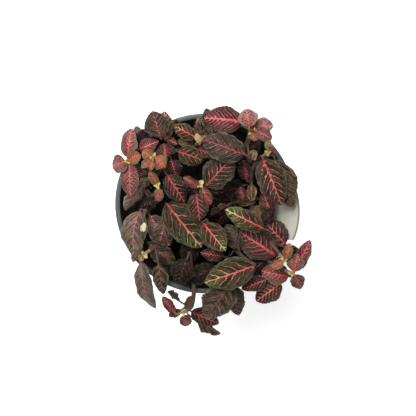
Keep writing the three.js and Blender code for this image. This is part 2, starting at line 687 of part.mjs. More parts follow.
function makePot() {
  let pot = solid(turned(potProfile(), POT_SIDES));
  const ring = (FOOT_DISC_RADIUS + 2 + FOOT_ACROSS / 2 - FOOT_WIDTH) / 2;
  for (let k = 0; k < DRAIN_HOLES; k += 1) {
    const angle = (2 * Math.PI * (k + 0.5)) / DRAIN_HOLES;
    const hole = new THREE.CylinderGeometry(DRAIN_ACROSS / 2, DRAIN_ACROSS / 2, 4 * FOOT_HEIGHT, 10);
    hole.rotateX(Math.PI / 2);
    hole.translate(ring * Math.cos(angle), ring * Math.sin(angle), FOOT_HEIGHT);
    pot = pot.subtract(solid(hole));
  }
  return asGeometry(pot);
}

// Soil: the root ball, with an uneven top and a plain hole for each stem and for the tag.
const SOIL_SECTORS = 24;
const SOIL_RINGS = [0, 0.35, 0.7, 1];

function soilTop(x, y) {
  return SOIL_HEIGHT + SOIL_SWELL * Math.sin(x / 7 + 1) * Math.cos(y / 8 - 0.5);
}

function soilBody() {
  const floor = FOOT_HEIGHT + POT_WALL + SEAT_GAP;
  const narrow = innerRadius(floor) - SEAT_GAP;
  const wide = innerRadius(SOIL_HEIGHT - 1) - SEAT_GAP;
  const profile = [
    new THREE.Vector2(0, floor - FOOT_HEIGHT),
    new THREE.Vector2(FOOT_DISC_RADIUS - 1, floor - FOOT_HEIGHT),
    new THREE.Vector2(FOOT_DISC_RADIUS + 1, floor),
    new THREE.Vector2(narrow, floor),
  ];
  for (const share of [...SOIL_RINGS].reverse()) {
    profile.push(new THREE.Vector2(share * wide, SOIL_HEIGHT));
  }
  const body = turned(profile, SOIL_SECTORS);
  const positions = body.getAttribute("position");
  for (let i = 0; i < positions.count; i += 1) {
    const [x, y, z] = [positions.getX(i), positions.getY(i), positions.getZ(i)];
    if (z > SOIL_HEIGHT - 1) positions.setZ(i, soilTop(x, y));
  }
  return solid(body);
}

function makeSoil(stems, tagSlot) {
  let soil = soilBody();
  for (const { points, across } of stems) {
    const hole = new THREE.CylinderGeometry(across / 2 + 0.5, across / 2 + 0.5, 2 * STEM_SET_IN, 8);
    hole.rotateX(Math.PI / 2).translate(points[0].x, points[0].y, SOIL_HEIGHT);
    soil = soil.subtract(solid(hole));
  }
  return asGeometry(soil.subtract(tagSlot));
}

// Plant tag: a plain plastic label with a rounded end, pushed into the soil by its stake. It
// leans out over the rim and clears it.

function tagOutline(margin) {
  const half = TAG_WIDTH / 2;
  const stake = TAG_STAKE / 2 + margin;
  const shape = new THREE.Shape();
  shape.moveTo(-stake, -TAG_SET_IN - margin);
  shape.lineTo(stake, -TAG_SET_IN - margin);
  shape.lineTo(stake, TAG_NECK);
  shape.lineTo(half, TAG_NECK + 4);
  shape.lineTo(half, TAG_ABOVE - 5);
  const centre = TAG_ABOVE - TAG_END_RADIUS;
  const spread = Math.asin((half - 2) / TAG_END_RADIUS);
  shape.absarc(0, centre, TAG_END_RADIUS, Math.PI / 2 - spread, Math.PI / 2 + spread, false);
  shape.lineTo(-half, TAG_ABOVE - 5);
  shape.lineTo(-half, TAG_NECK + 4);
  shape.lineTo(-stake, TAG_NECK);
  shape.closePath();
  return shape;
}

function makeTag(margin) {
  const depth = TAG_THICK + 2 * margin;
  const settings = { depth, bevelEnabled: false, curveSegments: 8 };
  const tag = new THREE.ExtrudeGeometry(tagOutline(margin), settings);
  tag.translate(0, 0, -depth / 2);
  tag.rotateX(Math.PI / 2).rotateZ(Math.PI / 2);
  tag.rotateY(TAG_LEAN);
  const [x, y, z] = TAG_FOOT;
  return tag.translate(x, y, z);
}

// Shoots: a stem with its leaves is one solid, and its young crown is another. A hollow that the
// leaves close in is filled, and only a tiny loose scrap may be dropped.
const SCRAP_VOLUME = 1;

function oneBody(made) {
  const [body, ...rest] = made.decompose().sort((a, b) => b.volume() - a.volume());
  if (rest.some((other) => other.volume() > SCRAP_VOLUME)) {
    throw new Error("a leaf doesn't meet its stem");
  }
  return body;
}

function joinShoot(stem, across, sides, blades) {
  const curve = stemCurve(stem.points);
  let made = solid(rod(curve, across, sides, Math.max(3, Math.round(stem.points.length / 5))));
  for (const blade of blades) {
    made = made.add(solid(leafGeometry(blade, stem)));
  }
  return asGeometry(oneBody(made));
}

const MATERIALS = {
  pot: { color: "#3a3b3c", roughness: 0.5, metalness: 0 },
  soil: { color: "#1d1814", roughness: 1, metalness: 0 },
  shoot: { color: "#36402f", roughness: 0.45, metalness: 0 },
  crown: { color: "#b4523f", roughness: 0.45, metalness: 0 },
  tag: { color: "#c9c8c2", roughness: 0.35, metalness: 0 },
};

function addMesh(group, name, geometry, look) {
  geometry.computeVertexNormals();
  const mesh = new THREE.Mesh(geometry, new THREE.MeshStandardMaterial(MATERIALS[look]));
  mesh.name = name;
  group.add(mesh);
}

const plant = new THREE.Group();
const stems = {};
const growing = [];
for (const [place, shoot] of Object.entries(SHOOTS)) {
  const { stem, young } = growStem(shoot);
  stems[`shoot_${place}`] = { points: stem, across: STEM_ACROSS, crowned: young.length > 0 };
  growing.push(...shoot.leaves.map((blade) => ({ blade, node: `shoot_${place}` })));
  if (!young.length) continue;
  stems[`crown_${place}`] = { points: young, across: CROWN_STEM_ACROSS };
  growing.push(...shoot.crown.map((blade) => ({ blade, node: `crown_${place}` })));
}
makeRoom(growing, stems);

const rooted = Object.entries(stems).filter(([name]) => name.startsWith("shoot_"));
addMesh(plant, "pot", makePot(), "pot");
addMesh(plant, "soil", makeSoil(rooted.map(([, stem]) => stem), solid(makeTag(SEAT_GAP))), "soil");
addMesh(plant, "plant_tag", makeTag(0), "tag");
for (const [name, stem] of Object.entries(stems)) {
  const blades = growing.filter(({ node }) => node === name).map(({ blade }) => blade);
  const look = name.startsWith("crown_") ? "crown" : "shoot";
  addMesh(plant, name, joinShoot(stem, stem.across, STEM_SIDES, blades), look);
}

export default plant;
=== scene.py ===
# Looks of the potted nerve plant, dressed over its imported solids. Sizes are in millimetres and
# meshes in metres, +Z up, with the pot's axis on the Z axis.
import math
import random

import bpy
import numpy as np
from mathutils import Euler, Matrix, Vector, noise


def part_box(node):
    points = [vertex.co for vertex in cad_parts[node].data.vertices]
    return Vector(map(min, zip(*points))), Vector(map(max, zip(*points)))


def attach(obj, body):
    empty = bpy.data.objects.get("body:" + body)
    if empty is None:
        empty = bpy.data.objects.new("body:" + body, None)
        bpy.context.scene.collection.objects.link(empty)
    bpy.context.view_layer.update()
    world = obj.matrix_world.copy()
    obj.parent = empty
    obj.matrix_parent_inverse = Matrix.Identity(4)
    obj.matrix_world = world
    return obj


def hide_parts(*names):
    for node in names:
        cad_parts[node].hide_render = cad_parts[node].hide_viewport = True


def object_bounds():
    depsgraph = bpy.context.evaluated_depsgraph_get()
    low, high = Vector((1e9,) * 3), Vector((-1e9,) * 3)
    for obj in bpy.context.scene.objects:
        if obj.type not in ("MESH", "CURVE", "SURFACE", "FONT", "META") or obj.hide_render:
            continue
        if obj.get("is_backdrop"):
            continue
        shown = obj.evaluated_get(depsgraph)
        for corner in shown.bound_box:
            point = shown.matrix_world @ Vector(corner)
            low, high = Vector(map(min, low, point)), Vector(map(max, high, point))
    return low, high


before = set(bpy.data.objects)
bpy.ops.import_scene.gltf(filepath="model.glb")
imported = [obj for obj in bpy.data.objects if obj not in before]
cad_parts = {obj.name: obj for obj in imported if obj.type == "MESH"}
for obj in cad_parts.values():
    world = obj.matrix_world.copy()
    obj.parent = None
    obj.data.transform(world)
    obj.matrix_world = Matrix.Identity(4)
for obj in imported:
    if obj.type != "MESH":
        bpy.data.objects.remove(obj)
cad_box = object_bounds()

MM = 0.001
rng = random.Random(11)

# Driving sizes, shared with the solids
POT_ACROSS = (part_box("pot")[1].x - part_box("pot")[0].x) / MM
POT_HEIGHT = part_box("pot")[1].z / MM
POT_WALL = 1.4
RIM_WIDTH = 3.4
RIM_DEPTH = 9
FOOT_ACROSS = 84
FOOT_HEIGHT = 3
FOOT_WIDTH = 3.5
FOOT_DISC_RADIUS = 15
DRAIN_HOLES = 6
DRAIN_ACROSS = 7
SOIL_HEIGHT = POT_HEIGHT - 14
SOIL_SWELL = 0.9
STEM_ACROSS = 3
STEM_SET_IN = 12
YOUNG_STEM_ACROSS = 2.2
YOUNG_STEM_LONG = 5
STALK_ACROSS = 1.3
SOLID_BLADE_THICK = 0.8
SEAT_GAP = 0.3
TAG_WIDTH = 38
TAG_THICK = 0.8
TAG_END_RADIUS = 41
TAG_FOOT = (32.4, -5, 86)
TAG_LEAN = math.radians(50)
TAG_ABOVE = 38.5
TAG_NECK = 15
TAG_STAKE = 8
TAG_SET_IN = 14
EYE_HEIGHT = 700

POT_RADIUS = POT_ACROSS / 2
RIM_INNER = POT_RADIUS - RIM_WIDTH
TAG_UP = np.array([math.sin(TAG_LEAN), 0, math.cos(TAG_LEAN)])
TAG_FACE = np.array([math.cos(TAG_LEAN), 0, -math.sin(TAG_LEAN)])

# Real thickness of a leaf blade, at its midrib and at its margin
BLADE_THICK = 0.55
MARGIN_THICK = 0.22

# The painted shade along the tag's end, where its edge lies in shadow, grows from faint to full
# between these, in mm inside it
TAG_EDGE_SHADE_INSIDE = (1.3, 0.5)

# How the kinds of leaf grow. cup lifts the margins above the midrib or hangs them below it, in
# mm, as it does on all but three of the solids' leaves. ruffle is the height of the waves along
# the margin and quilt how high the blade swells between its veins, in mm. apart spaces the side
# veins, as a share of the usual, and fresh is how far a tip has kept the yellow-green of new growth.
def growth(cup, ruffle, quilt, apart=1.0, fresh=0.0):
    return {"cup": cup, "ruffle": ruffle, "quilt": quilt, "apart": apart, "fresh": fresh}


KINDS = {
    "mature": growth(-1.4, 0.6, 0.7, apart=0.9),
    "dull": growth(-1.4, 0.7, 0.7),
    "flushed": growth(-1.4, 0.6, 0.7, apart=0.72),
    "green": growth(-1.2, 0.6, 0.7, apart=1.15, fresh=0.4),
    "olive": growth(-1.4, 0.8, 0.5, apart=0.9),
    "greyed": growth(-1.4, 0.7, 0.7),
    "faded": growth(-1.4, 0.8, 0.5, apart=0.9),
    "deep": growth(-1, 0.6, 0.5),
    "rose": growth(0.8, 0.3, 0.35, apart=0.8),
    "blush": growth(0.8, 0.3, 0.35, apart=0.8),
    "crimson": growth(0.8, 0.3, 0.35, apart=0.8),
    "ember": growth(0.9, 0, 0.25, apart=0.9),
    "russet": growth(0.9, 0, 0.25, apart=0.9),
    "pale": growth(0.8, 0, 0.08),
    "cream": growth(0.8, 0, 0.08),
    "bud": growth(0.6, 0, 0.08),
    "bract": growth(1.4, 0.4, 0.2),
    "withered": growth(1.4, 0.5, 0.3),
}


def leaf(kind, foot, tip, wide, high, rise, arch=2, roll=0, cup=None, bow=0, fresh=None, shade=1):
    """One leaf: foot and tip in the plan, width, height of the foot, rise of the tip, bends.

    shade makes one leaf lighter or darker than the others of its kind: partly its own colour, and
    partly the light or shade that falls on it, painted in."""
    habit = KINDS[kind]
    return {
        "kind": kind,
        "foot": foot,
        "tip": tip,
        "wide": wide,
        "high": high,
        "rise": rise,
        "arch": arch,
        "roll": math.radians(roll),
        "cup": habit["cup"] if cup is None else cup,
        "bow": bow,
        "fresh": habit["fresh"] if fresh is None else fresh,
        "shade": shade,
    }


# The leafy stems, as the solids have them
SHOOTS = {}


def sprout(place, root, path, leaves, crown=()):
    """A stem: root is where it leaves the soil, path what it passes, with heights, and crown the
    leaves of its young end."""
    SHOOTS[place] = {"root": root, "path": path, "leaves": leaves, "crown": crown}


sprout(
    "west", root=(-30, 13), path=[(-38, 19, 104), (-46, 25, 114), (-51.7, 28.5, 122)],
    crown=[
        leaf("rose", (-53, 28), (-61.5, 24.5), 12.5, 122, -2, roll=-12),
        leaf("ember", (-51, 29), (-43, 32.5), 8.7, 123.5, 1, arch=1.4, cup=1.2),
        leaf("rose", (-51.7, 31), (-49, 50), 10.5, 121, -1),
        leaf("rose", (-50.3, 26.5), (-49.7, 4.7), 11.3, 121, -4, arch=3, shade=0.92),
    ],
    leaves=[
        leaf("flushed", (-43.7, 36), (-31, 41.5), 10, 117, -1),
        leaf("mature", (-47, 24), (-40.5, 12), 10, 114, -4),
        leaf("deep", (-45, 37), (-39, 49.5), 12, 113, -3),
        leaf("greyed", (-43, 42), (-46, 51.5), 8, 110, -3, shade=1.25),
    ],
)
sprout(
    "north_west", root=(-20, 20), path=[(-25, 25, 104), (-31, 29, 117), (-34.3, 31, 126)],
    crown=[
        leaf("ember", (-35.2, 31), (-41.8, 34.6), 7.4, 126, 0.5, arch=1),
        leaf("ember", (-36.3, 29), (-42.3, 24), 5, 125, -1, arch=1),
        leaf("ember", (-33.5, 30.5), (-26.3, 24), 10.5, 127, 0, arch=1.5, cup=-1),
        leaf("ember", (-35, 28), (-36.3, 22), 3.6, 123.5, -1, arch=1),
    ],
    leaves=[
        leaf("mature", (-25.7, 30.5), (-27.7, 40), 13.5, 121, -3),
        leaf("mature", (-22.5, 29), (-19, 17.5), 12, 119, -4),
        leaf("deep", (-29, 22), (-35, 14), 9, 108, -2),
        leaf("mature", (-25.3, 19), (-13.5, 1), 14.5, 121, -4, arch=3),
    ],
)
sprout(
    "inner_west", root=(-23, 8), path=[(-26, 9, 104), (-31, 11.2, 114), (-31.8, 11.8, 124)],
    crown=[
        leaf("ember", (-31.7, 12.7), (-37, 21.5), 6, 124, 1.5, arch=1, shade=0.85),
        leaf("ember", (-31, 10), (-30.7, 1.3), 6.3, 124, -1, arch=1, shade=0.75),
    ],
    leaves=[
        leaf("faded", (-37.7, 17), (-53, -4.7), 13, 115, -7, roll=50, arch=3),
        leaf("green", (-36.5, 2.7), (-40.5, 9), 7, 112, 0, roll=50, arch=1),
        leaf("mature", (-20, 6), (-12, -6), 11, 110, -4),
        leaf("deep", (-22, 11), (-16, 20), 10, 104, -2),
    ],
)
sprout(
    "far_west", root=(-34, -6), path=[(-37, -5.5, 103), (-40, -5, 113)],
    leaves=[
        leaf("greyed", (-43.5, -5), (-46.5, -36), 17, 114, -7, arch=4, bow=2.5, shade=1.12),
        leaf("deep", (-33, 2), (-43.5, -2.5), 9.5, 112, -4),
        leaf("dull", (-36.5, -8.5), (-23.5, -28), 16.5, 113, -3, arch=3),
        leaf("faded", (-43, -26), (-48, -39), 8, 106, -4),
        leaf("cream", (-41.7, -19), (-40.3, -12.7), 3.6, 120, 0.5, arch=0.6),
    ],
)
sprout(
    "mid_west", root=(-22, -8), path=[(-24, -5, 104), (-25.5, -1, 115)],
    leaves=[
        leaf("green", (-25.7, 0), (-2.3, -29), 21.5, 117.5, 1, arch=3),
        leaf("deep", (-18, -10), (-14, -26), 12, 108, -4),
        # Flatter than on the solid, to stay clear of a blade of far_west
        leaf("dull", (-26, -12), (-30, -25), 12, 107, -3, cup=-0.5),
    ],
)
sprout(
    "south_west", root=(-25, -22), path=[(-29, -26, 101), (-35, -30, 108), (-41, -34, 111)],
    crown=[
        leaf("bract", (-41.5, -34.5), (-43.5, -38), 4, 112.5, 0, arch=0.5, shade=1.4),
        leaf("pale", (-40.5, -34), (-38.5, -36.5), 2.6, 113, 0.5, arch=0.5),
    ],
    leaves=[
        leaf("faded", (-42.3, -39), (-33, -70), 11.5, 106.5, -26, arch=9, bow=2.5, shade=1.12),
        leaf("olive", (-31, -40.5), (-27.7, -60.5), 10, 104.5, -7, arch=4),
        leaf("olive", (-37, -27), (-20, -40.5), 13, 108, -2, arch=3),
        leaf("deep", (-28, -29), (-24, -49), 13, 102, 0),
    ],
)
sprout(
    "north", root=(-16, 32), path=[(-19, 37, 103), (-24, 43.5, 113), (-28.5, 45, 120)],
    leaves=[
        leaf("dull", (-29.7, 44), (-35, 61.5), 16, 124, 2),
        leaf("green", (-26.5, 43), (-27, 61.5), 11, 119.5, -1),
        leaf("green", (-26.2, 43.4), (-18.6, 39.6), 5.2, 117, -1, arch=1),
        leaf("deep", (-21, 44), (-19, 56), 10, 110, -2),
    ],
)
sprout(
    "inner_north", root=(-6, 26), path=[(-7, 32, 103), (-6, 38, 114), (-4, 42, 122)],
    crown=[
        leaf("pale", (-3.2, 40.5), (-6, 46.5), 4.5, 123.5, 1, arch=0.8),
        leaf("ember", (-2.5, 41), (-0.5, 45.5), 4.5, 123, 0.5, arch=0.8),
    ],
    leaves=[
        leaf("green", (-6, 44), (-21.7, 52.3), 9.5, 117, -1.5),
        leaf("green", (-6.3, 49.5), (-4.3, 57), 7, 112, 1, roll=45, arch=1),
        leaf("green", (-17.7, 34.5), (-0.7, 28.7), 13.5, 118.5, -2),
        leaf("green", (-5.5, 36.3), (8, 30.8), 7.5, 121, -2, roll=42, arch=1.5),
        leaf("withered", (-8, 38.5), (-18, 42), 6, 113, 0),
        leaf("olive", (-1, 47.5), (-11, 47.5), 7.5, 116, -3),
        leaf("olive", (6, 43), (0.7, 63.5), 11, 122, 0),
    ],
)
sprout(
    "centre", root=(-3, 3), path=[(-3, 5, 104), (-4, 9, 120), (-3.7, 12.5, 132)],
    crown=[
        leaf("crimson", (-4.5, 11.5), (-14.5, 17.5), 6, 132, 1, cup=1.8, arch=1.4),
        leaf("crimson", (-2, 10.5), (3.7, -0.7), 6.8, 131.5, -2, cup=1.4, arch=1.4),
        leaf("pale", (-3.5, 12.5), (-1.5, 15.5), 3.2, 133, 0.5, arch=0.5),
    ],
    leaves=[
        leaf("mature", (0.5, 11.5), (18.5, 31), 19, 126.5, -2, arch=3, shade=0.94),
        leaf("mature", (-5.7, 6.7), (-3.5, -11.5), 14, 126, -5, arch=2.4),
        leaf("deep", (-7, 8), (-19, 10), 12, 110, -3),
        leaf("deep", (1, 2), (12, -8), 13, 108, -4),
    ],
)
sprout(
    "north_east", root=(16, 24), path=[(21, 30, 106), (27, 38, 120), (31, 48, 132)],
    crown=[
        leaf("ember", (31, 49), (30.3, 56), 5, 133, 1, arch=0.8),
        leaf("ember", (31.3, 47), (34.5, 42), 5, 132.5, -0.5, arch=0.8),
        leaf("blush", (29.3, 51.5), (27.5, 63), 11.5, 129.5, -4, arch=2.6, shade=0.85),
        leaf("blush", (33, 52), (45.3, 51.3), 10.5, 130, -3, roll=-10, shade=1.1),
        leaf("rose", (34, 48.5), (44.6, 43), 8, 129, -2),
    ],
    leaves=[
        leaf("dull", (26, 32.7), (-1.7, 42.7), 19, 130, 2, arch=3, shade=0.85),
        leaf("flushed", (25, 54.5), (-0.5, 57), 17.5, 125.5, -2, arch=3, shade=0.88),
        leaf("deep", (27.5, 35.5), (36.5, 41.5), 10.5, 119, -2),
        leaf("bract", (31, 29.5), (33, 35.5), 6, 122, 1, arch=1),
    ],
)
sprout(
    "east", root=(30, 2), path=[(30.3, 12, 106), (32, 24, 116), (38, 31, 120), (42, 34, 122.5)],
    crown=[
        leaf("pale", (42, 35.5), (42.5, 43), 4.8, 122, 1.5, arch=0.8, fresh=1),
        leaf("ember", (43.5, 34.8), (47.2, 34.2), 2.6, 123, 0, arch=0.4, shade=0.75),
        leaf("ember", (43, 35.8), (45.2, 37.6), 3, 123.5, 0.5, arch=0.4, shade=0.75),
    ],
    leaves=[
        leaf("mature", (38.5, 29.5), (51, -1), 19, 126, -5, arch=4),
        leaf("olive", (46.5, 29), (58.5, -2.5), 17, 120, -4, arch=3),
        leaf("mature", (28, 15.5), (25.5, 29), 9, 112, 0),
        leaf("deep", (26, 12), (2.3, 4.7), 14, 107, -3),
        leaf("bract", (31, 12.5), (31, 2), 6.5, 112.5, -5, arch=1.4, cup=1.6),
        leaf("withered", (34, 2.5), (22, -0.7), 5, 107, 0, arch=1, shade=1.35),
    ],
)
sprout(
    "inner_east", root=(14, -3), path=[(19, 0, 100), (24.5, 2, 107)],
    leaves=[
        leaf("mature", (25, 2.5), (24, 11), 8.5, 109.5, 0.5, arch=1),
        leaf("deep", (18, 2), (8, -14), 12, 104, -3),
        leaf("olive", (14.5, -1.5), (4, -7.5), 7, 112, 1, roll=45, arch=1),
    ],
)
sprout(
    "east_low", root=(30, -12), path=[(37, -18, 103), (46, -29, 112), (53, -38, 119)],
    crown=[
        leaf("ember", (53.8, -37), (56.4, -26.5), 6.3, 119.5, 1, arch=1.2, shade=0.9),
        leaf("ember", (52, -38.7), (44.2, -42.5), 6.3, 120, 0, arch=1, shade=0.9),
        leaf("pale", (53, -38), (51, -35.5), 2.4, 120, 1, arch=0.4),
    ],
    leaves=[
        leaf("green", (39, -16.7), (13.7, -4), 13, 123, 3, arch=3, fresh=1),
        leaf("flushed", (47, -34.5), (21.7, -18), 20, 119, 0, arch=3, shade=0.94),
        leaf("mature", (53.5, -27), (39, -11.5), 16.5, 114, -2),
        leaf("mature", (44, -7), (38.3, 8), 10, 112, 0),
        leaf("withered", (42, -9.5), (32.5, -2.5), 9, 109, 0, arch=1),
        leaf("deep", (38, -13), (46, -3), 8, 112, -1, arch=1),
    ],
)
sprout(
    "south_east", root=(26, -24), path=[(36, -33, 102), (48, -42, 109), (57.7, -46.5, 116)],
    crown=[
        leaf("russet", (59.2, -45.3), (61.7, -33.3), 10.5, 118.5, 0.5, arch=2, cup=-1, shade=1.15),
        leaf("russet", (59.7, -47.5), (63.7, -57), 10, 117.5, -1, arch=2, cup=-1, shade=0.65),
        leaf("pale", (58, -46), (60, -44.5), 2.6, 118.5, 0.6, arch=0.4),
    ],
    leaves=[
        leaf("crimson", (55.5, -48.5), (37.7, -45), 14, 113, 0, arch=2.4, shade=1.2),
        leaf("crimson", (60.5, -43.5), (70, -24.5), 9.5, 111, 1),
        leaf("mature", (50.5, -53), (34, -65), 15.5, 106, -5),
        leaf("mature", (41, -50.5), (24.3, -57), 10, 108, -3),
        leaf("deep", (50, -36), (62, -30), 12, 107, -4),
        leaf("deep", (39, -38), (25, -52), 15, 104, -1),
    ],
)
sprout(
    "south", root=(14, -22), path=[(19, -29, 104), (27, -37, 114), (33, -41, 117.5)],
    leaves=[
        leaf("green", (33, -41.3), (-0.3, -52.7), 20, 117, -2, arch=4),
        leaf("mature", (12.5, -35.3), (-3, -32.7), 9, 111, 0),
        leaf("olive", (22.5, -30), (14.3, -14), 12, 112, 1, shade=0.8),
    ],
)
sprout(
    "inner_south", root=(0, -12), path=[(1, -12, 104), (0.8, -11.6, 119)],
    leaves=[
        leaf("green", (-1, -13.3), (13.7, -31.5), 15, 123, -1, arch=3, fresh=0.6),
        leaf("deep", (-6, -21), (-12.5, -41), 13, 109, -3),
        leaf("deep", (4, -20), (4.5, -41), 12, 105, -3),
    ],
)
sprout(
    "south_low", root=(12, -38), path=[(13, -46, 102), (15, -54, 107)],
    leaves=[
        leaf("olive", (17, -54.5), (0, -75.5), 21.5, 108, -16, arch=5),
        leaf("deep", (7, -42.5), (-11.5, -51.5), 13, 108, 0, arch=1.5),
        leaf("dull", (17.5, -55), (22.5, -74.5), 13.5, 106, -12, arch=3, shade=0.7),
    ],
)
sprout(
    "hanging", root=(-8, -38),
    path=[(-8, -47, 101), (-7.5, -60, 104.5), (-9, -68.5, 98), (-14.3, -72.5, 90)],
    crown=[
        leaf("crimson", (-20, -72.5), (-28.3, -62), 7, 89, 2, shade=0.8),
        leaf("crimson", (-14, -74.5), (-11.7, -81.5), 8.5, 88.5, -5, shade=0.8),
    ],
    leaves=[
        leaf("olive", (-17, -65), (-25, -58.8), 7.5, 96, -4, roll=50, arch=1),
        leaf("deep", (-5.5, -42), (-9.5, -57), 12, 104, 0),
        leaf("deep", (-12, -37), (-18.5, -54), 15, 114, -2, arch=3),
        leaf("mature", (-9, -72), (9.3, -80), 12.5, 88, -5),
        leaf("olive", (-5, -78), (10.3, -86.7), 9, 84, -6, roll=48),
        leaf("withered", (-8.5, -61.5), (-13, -69.5), 5, 108, -5, arch=1),
        leaf("withered", (-16, -71), (-24, -75), 5.5, 86, -3, arch=1),
    ],
)

# Outline of a blade, as a share of its greatest half-width, and the waves of its margin
OUTLINE_FOOT = 0.55
OUTLINE_TIP = 0.7
WIDEST_AT = OUTLINE_FOOT / (OUTLINE_FOOT + OUTLINE_TIP)
WAVES_ALONG_MARGIN = 2.3


def unit(vectors):
    return vectors / np.maximum(np.linalg.norm(vectors, axis=-1, keepdims=True), 1e-9)


def in_sight(place, height):
    """A place in the plan, moved along the line of sight to its height."""
    spread = (EYE_HEIGHT - height) / (EYE_HEIGHT - POT_HEIGHT)
    return np.array([place[0] * spread, place[1] * spread, height])


def outline(u):
    """Half-width of a blade at shares of the way from foot to tip, 1 where it is widest."""
    u = np.clip(u, 0, 1)
    widest = WIDEST_AT**OUTLINE_FOOT * (1 - WIDEST_AT) ** OUTLINE_TIP
    return u**OUTLINE_FOOT * (1 - u) ** OUTLINE_TIP / widest


def smooth_path(points, steps=24):
    """A centripetal Catmull-Rom curve through the points, drawn finely."""
    points = [np.array(p, float) for p in points]
    knots = [2 * points[0] - points[1], *points, 2 * points[-1] - points[-2]]
    share = np.linspace(0, 1, steps, endpoint=False)[:, None]
    drawn = []
    for before, start, end, after in zip(knots, knots[1:], knots[2:], knots[3:]):
        near = math.sqrt(np.linalg.norm(start - before))
        span = math.sqrt(np.linalg.norm(end - start))
        far = math.sqrt(np.linalg.norm(after - end))
        out = span * ((start - before) / near - (end - before) / (near + span) + (end - start) / span)
        home = span * ((end - start) / span - (after - start) / (span + far) + (after - end) / far)
        square = -3 * start + 3 * end - 2 * out - home
        cube = 2 * start - 2 * end + out + home
        drawn.append(start + out * share + square * share**2 + cube * share**3)
    return np.vstack([*drawn, points[-1][None]])


def evenly(path, count):
    """count + 1 points at equal steps along a path."""
    along = np.concatenate([[0], np.cumsum(np.linalg.norm(np.diff(path, axis=0), axis=1))])
    wanted = np.linspace(0, along[-1], count + 1)
    return np.stack([np.interp(wanted, along, path[:, k]) for k in range(3)], axis=1)


# Stems and stalks follow the same lines as in the solids. A stem stands upright where it leaves
# the soil. A stalk starts no lower than STALKS_FROM over the soil, and the further out a blade
# is, the lower on the stem its stalk starts.
STEM_POINTS = 60
STEM_UPRIGHT = 3
STALKS_FROM = 4
STALK_DIP = 0.45
STALK_BOW = 0.3
BELOW_CROWN = 4


def grow_stem(shoot):
    """Points along the old stem, and along its young end where it has a crown."""
    foot = in_sight(shoot["root"], SOIL_HEIGHT)
    heights = (SEAT_GAP - STEM_SET_IN, -STEM_SET_IN / 2, 0, STEM_UPRIGHT)
    upright = [foot + [0, 0, above] for above in heights]
    line = smooth_path([*upright, *(in_sight(p[:2], p[2]) for p in shoot["path"])])
    points = evenly(line, STEM_POINTS)
    if not shoot["crown"]:
        return points, None
    step = np.linalg.norm(np.diff(points, axis=0), axis=1).mean()
    young = math.ceil(YOUNG_STEM_LONG / step)
    return points[: STEM_POINTS - young + 1], points[STEM_POINTS - young :]


def blade_line(blade, drop):
    """The midrib's three Bezier points and the way across it, for a leaf that sank by drop."""
    foot = in_sight(blade["foot"], blade["high"] - drop)
    tip = in_sight(blade["tip"], blade["high"] - drop + blade["rise"])
    across = unit(np.array([tip[1] - foot[1], foot[0] - tip[0], 0]))
    middle = (foot + tip) / 2 + [0, 0, 2 * blade["arch"]] + across * 2 * blade["bow"]
    return foot, middle, tip, across


def bezier(line, u):
    foot, middle, tip, _ = line
    u = u[:, None]
    return (1 - u) ** 2 * foot + 2 * u * (1 - u) * middle + u**2 * tip


def bezier_way(line, u):
    """Direction of the midrib at each share of the way along."""
    foot, middle, tip, _ = line
    u = u[:, None]
    return unit((1 - u) * (middle - foot) + u * (tip - middle))


def sideways(blade, line, u):
    """Directions to the side and up off the blade, leaned over by its roll."""
    across = line[3]
    up = unit(np.cross(across, bezier_way(line, u)))
    cos, sin = math.cos(blade["roll"]), math.sin(blade["roll"])
    return across * cos + up * sin, up * cos - across * sin


def corners_of(mesh):
    """The mesh's corners, a row for each."""
    corners = np.empty(len(mesh.vertices) * 3)
    mesh.vertices.foreach_get("co", corners)
    return corners.reshape(-1, 3)


# Some leaves of the solids are sunk or raised to find room, in steps within these limits
SINK_STEP = 0.5
MOST_SUNK = 14
MOST_RAISED = 9
TIP_FOUND_WITHIN = 0.05


def settled(blade, node):
    """How far the leaf sank to find room, read off where the tip of its solid is."""
    corners = corners_of(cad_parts[node].data) / MM
    best = (math.inf, 0)
    for drop in np.arange(-MOST_RAISED, MOST_SUNK + SINK_STEP, SINK_STEP):
        line = blade_line(blade, drop)
        _, up = sideways(blade, line, np.array([1.0]))
        for half in (SOLID_BLADE_THICK / 2, -SOLID_BLADE_THICK / 2):
            gap = np.linalg.norm(corners - (line[2] + up[0] * half), axis=1).min()
            best = min(best, (gap, drop))
    if best[0] > TIP_FOUND_WITHIN:
        print("no tip found for a", blade["kind"], "leaf of", node, "nearest", round(best[0], 2))
    return best[1]


def stalk_line(blade, line, stem, crowned):
    """A stalk leaves the stem a little below the blade's foot and ends in it."""
    foot = line[0]
    free = stem[stem[:, 2] > SOIL_HEIGHT + STALKS_FROM]
    if crowned:
        free = free[np.linalg.norm(free - stem[-1], axis=1) >= BELOW_CROWN]
    away = np.hypot(free[:, 0] - foot[0], free[:, 1] - foot[1])
    above = free[:, 2] - (foot[2] - STALK_DIP * away)
    far = np.hypot(away, np.where(above > 0, 2 * above, above))
    start = free[far.argmin()]
    way = bezier_way(line, np.array([0.0]))[0]
    bend = foot - STALK_BOW * np.linalg.norm(start - foot) * way
    return smooth_path([start, bend, foot])


# Masters, modelled once and copied for every leaf, stalk and stem


def deselect():
    if bpy.context.mode != "OBJECT":
        bpy.ops.object.mode_set(mode="OBJECT")
    bpy.ops.object.select_all(action="DESELECT")


def extrude(way, times=1):
    """Draws the active object's faces out, again and again, and turns all faces outwards."""
    bpy.ops.object.mode_set(mode="EDIT")
    bpy.ops.mesh.select_all(action="SELECT")
    for _ in range(times):
        bpy.ops.mesh.extrude_region_move(TRANSFORM_OT_translate={"value": way})
    bpy.ops.mesh.select_all(action="SELECT")
    bpy.ops.mesh.normals_make_consistent(inside=False)
    bpy.ops.object.mode_set(mode="OBJECT")


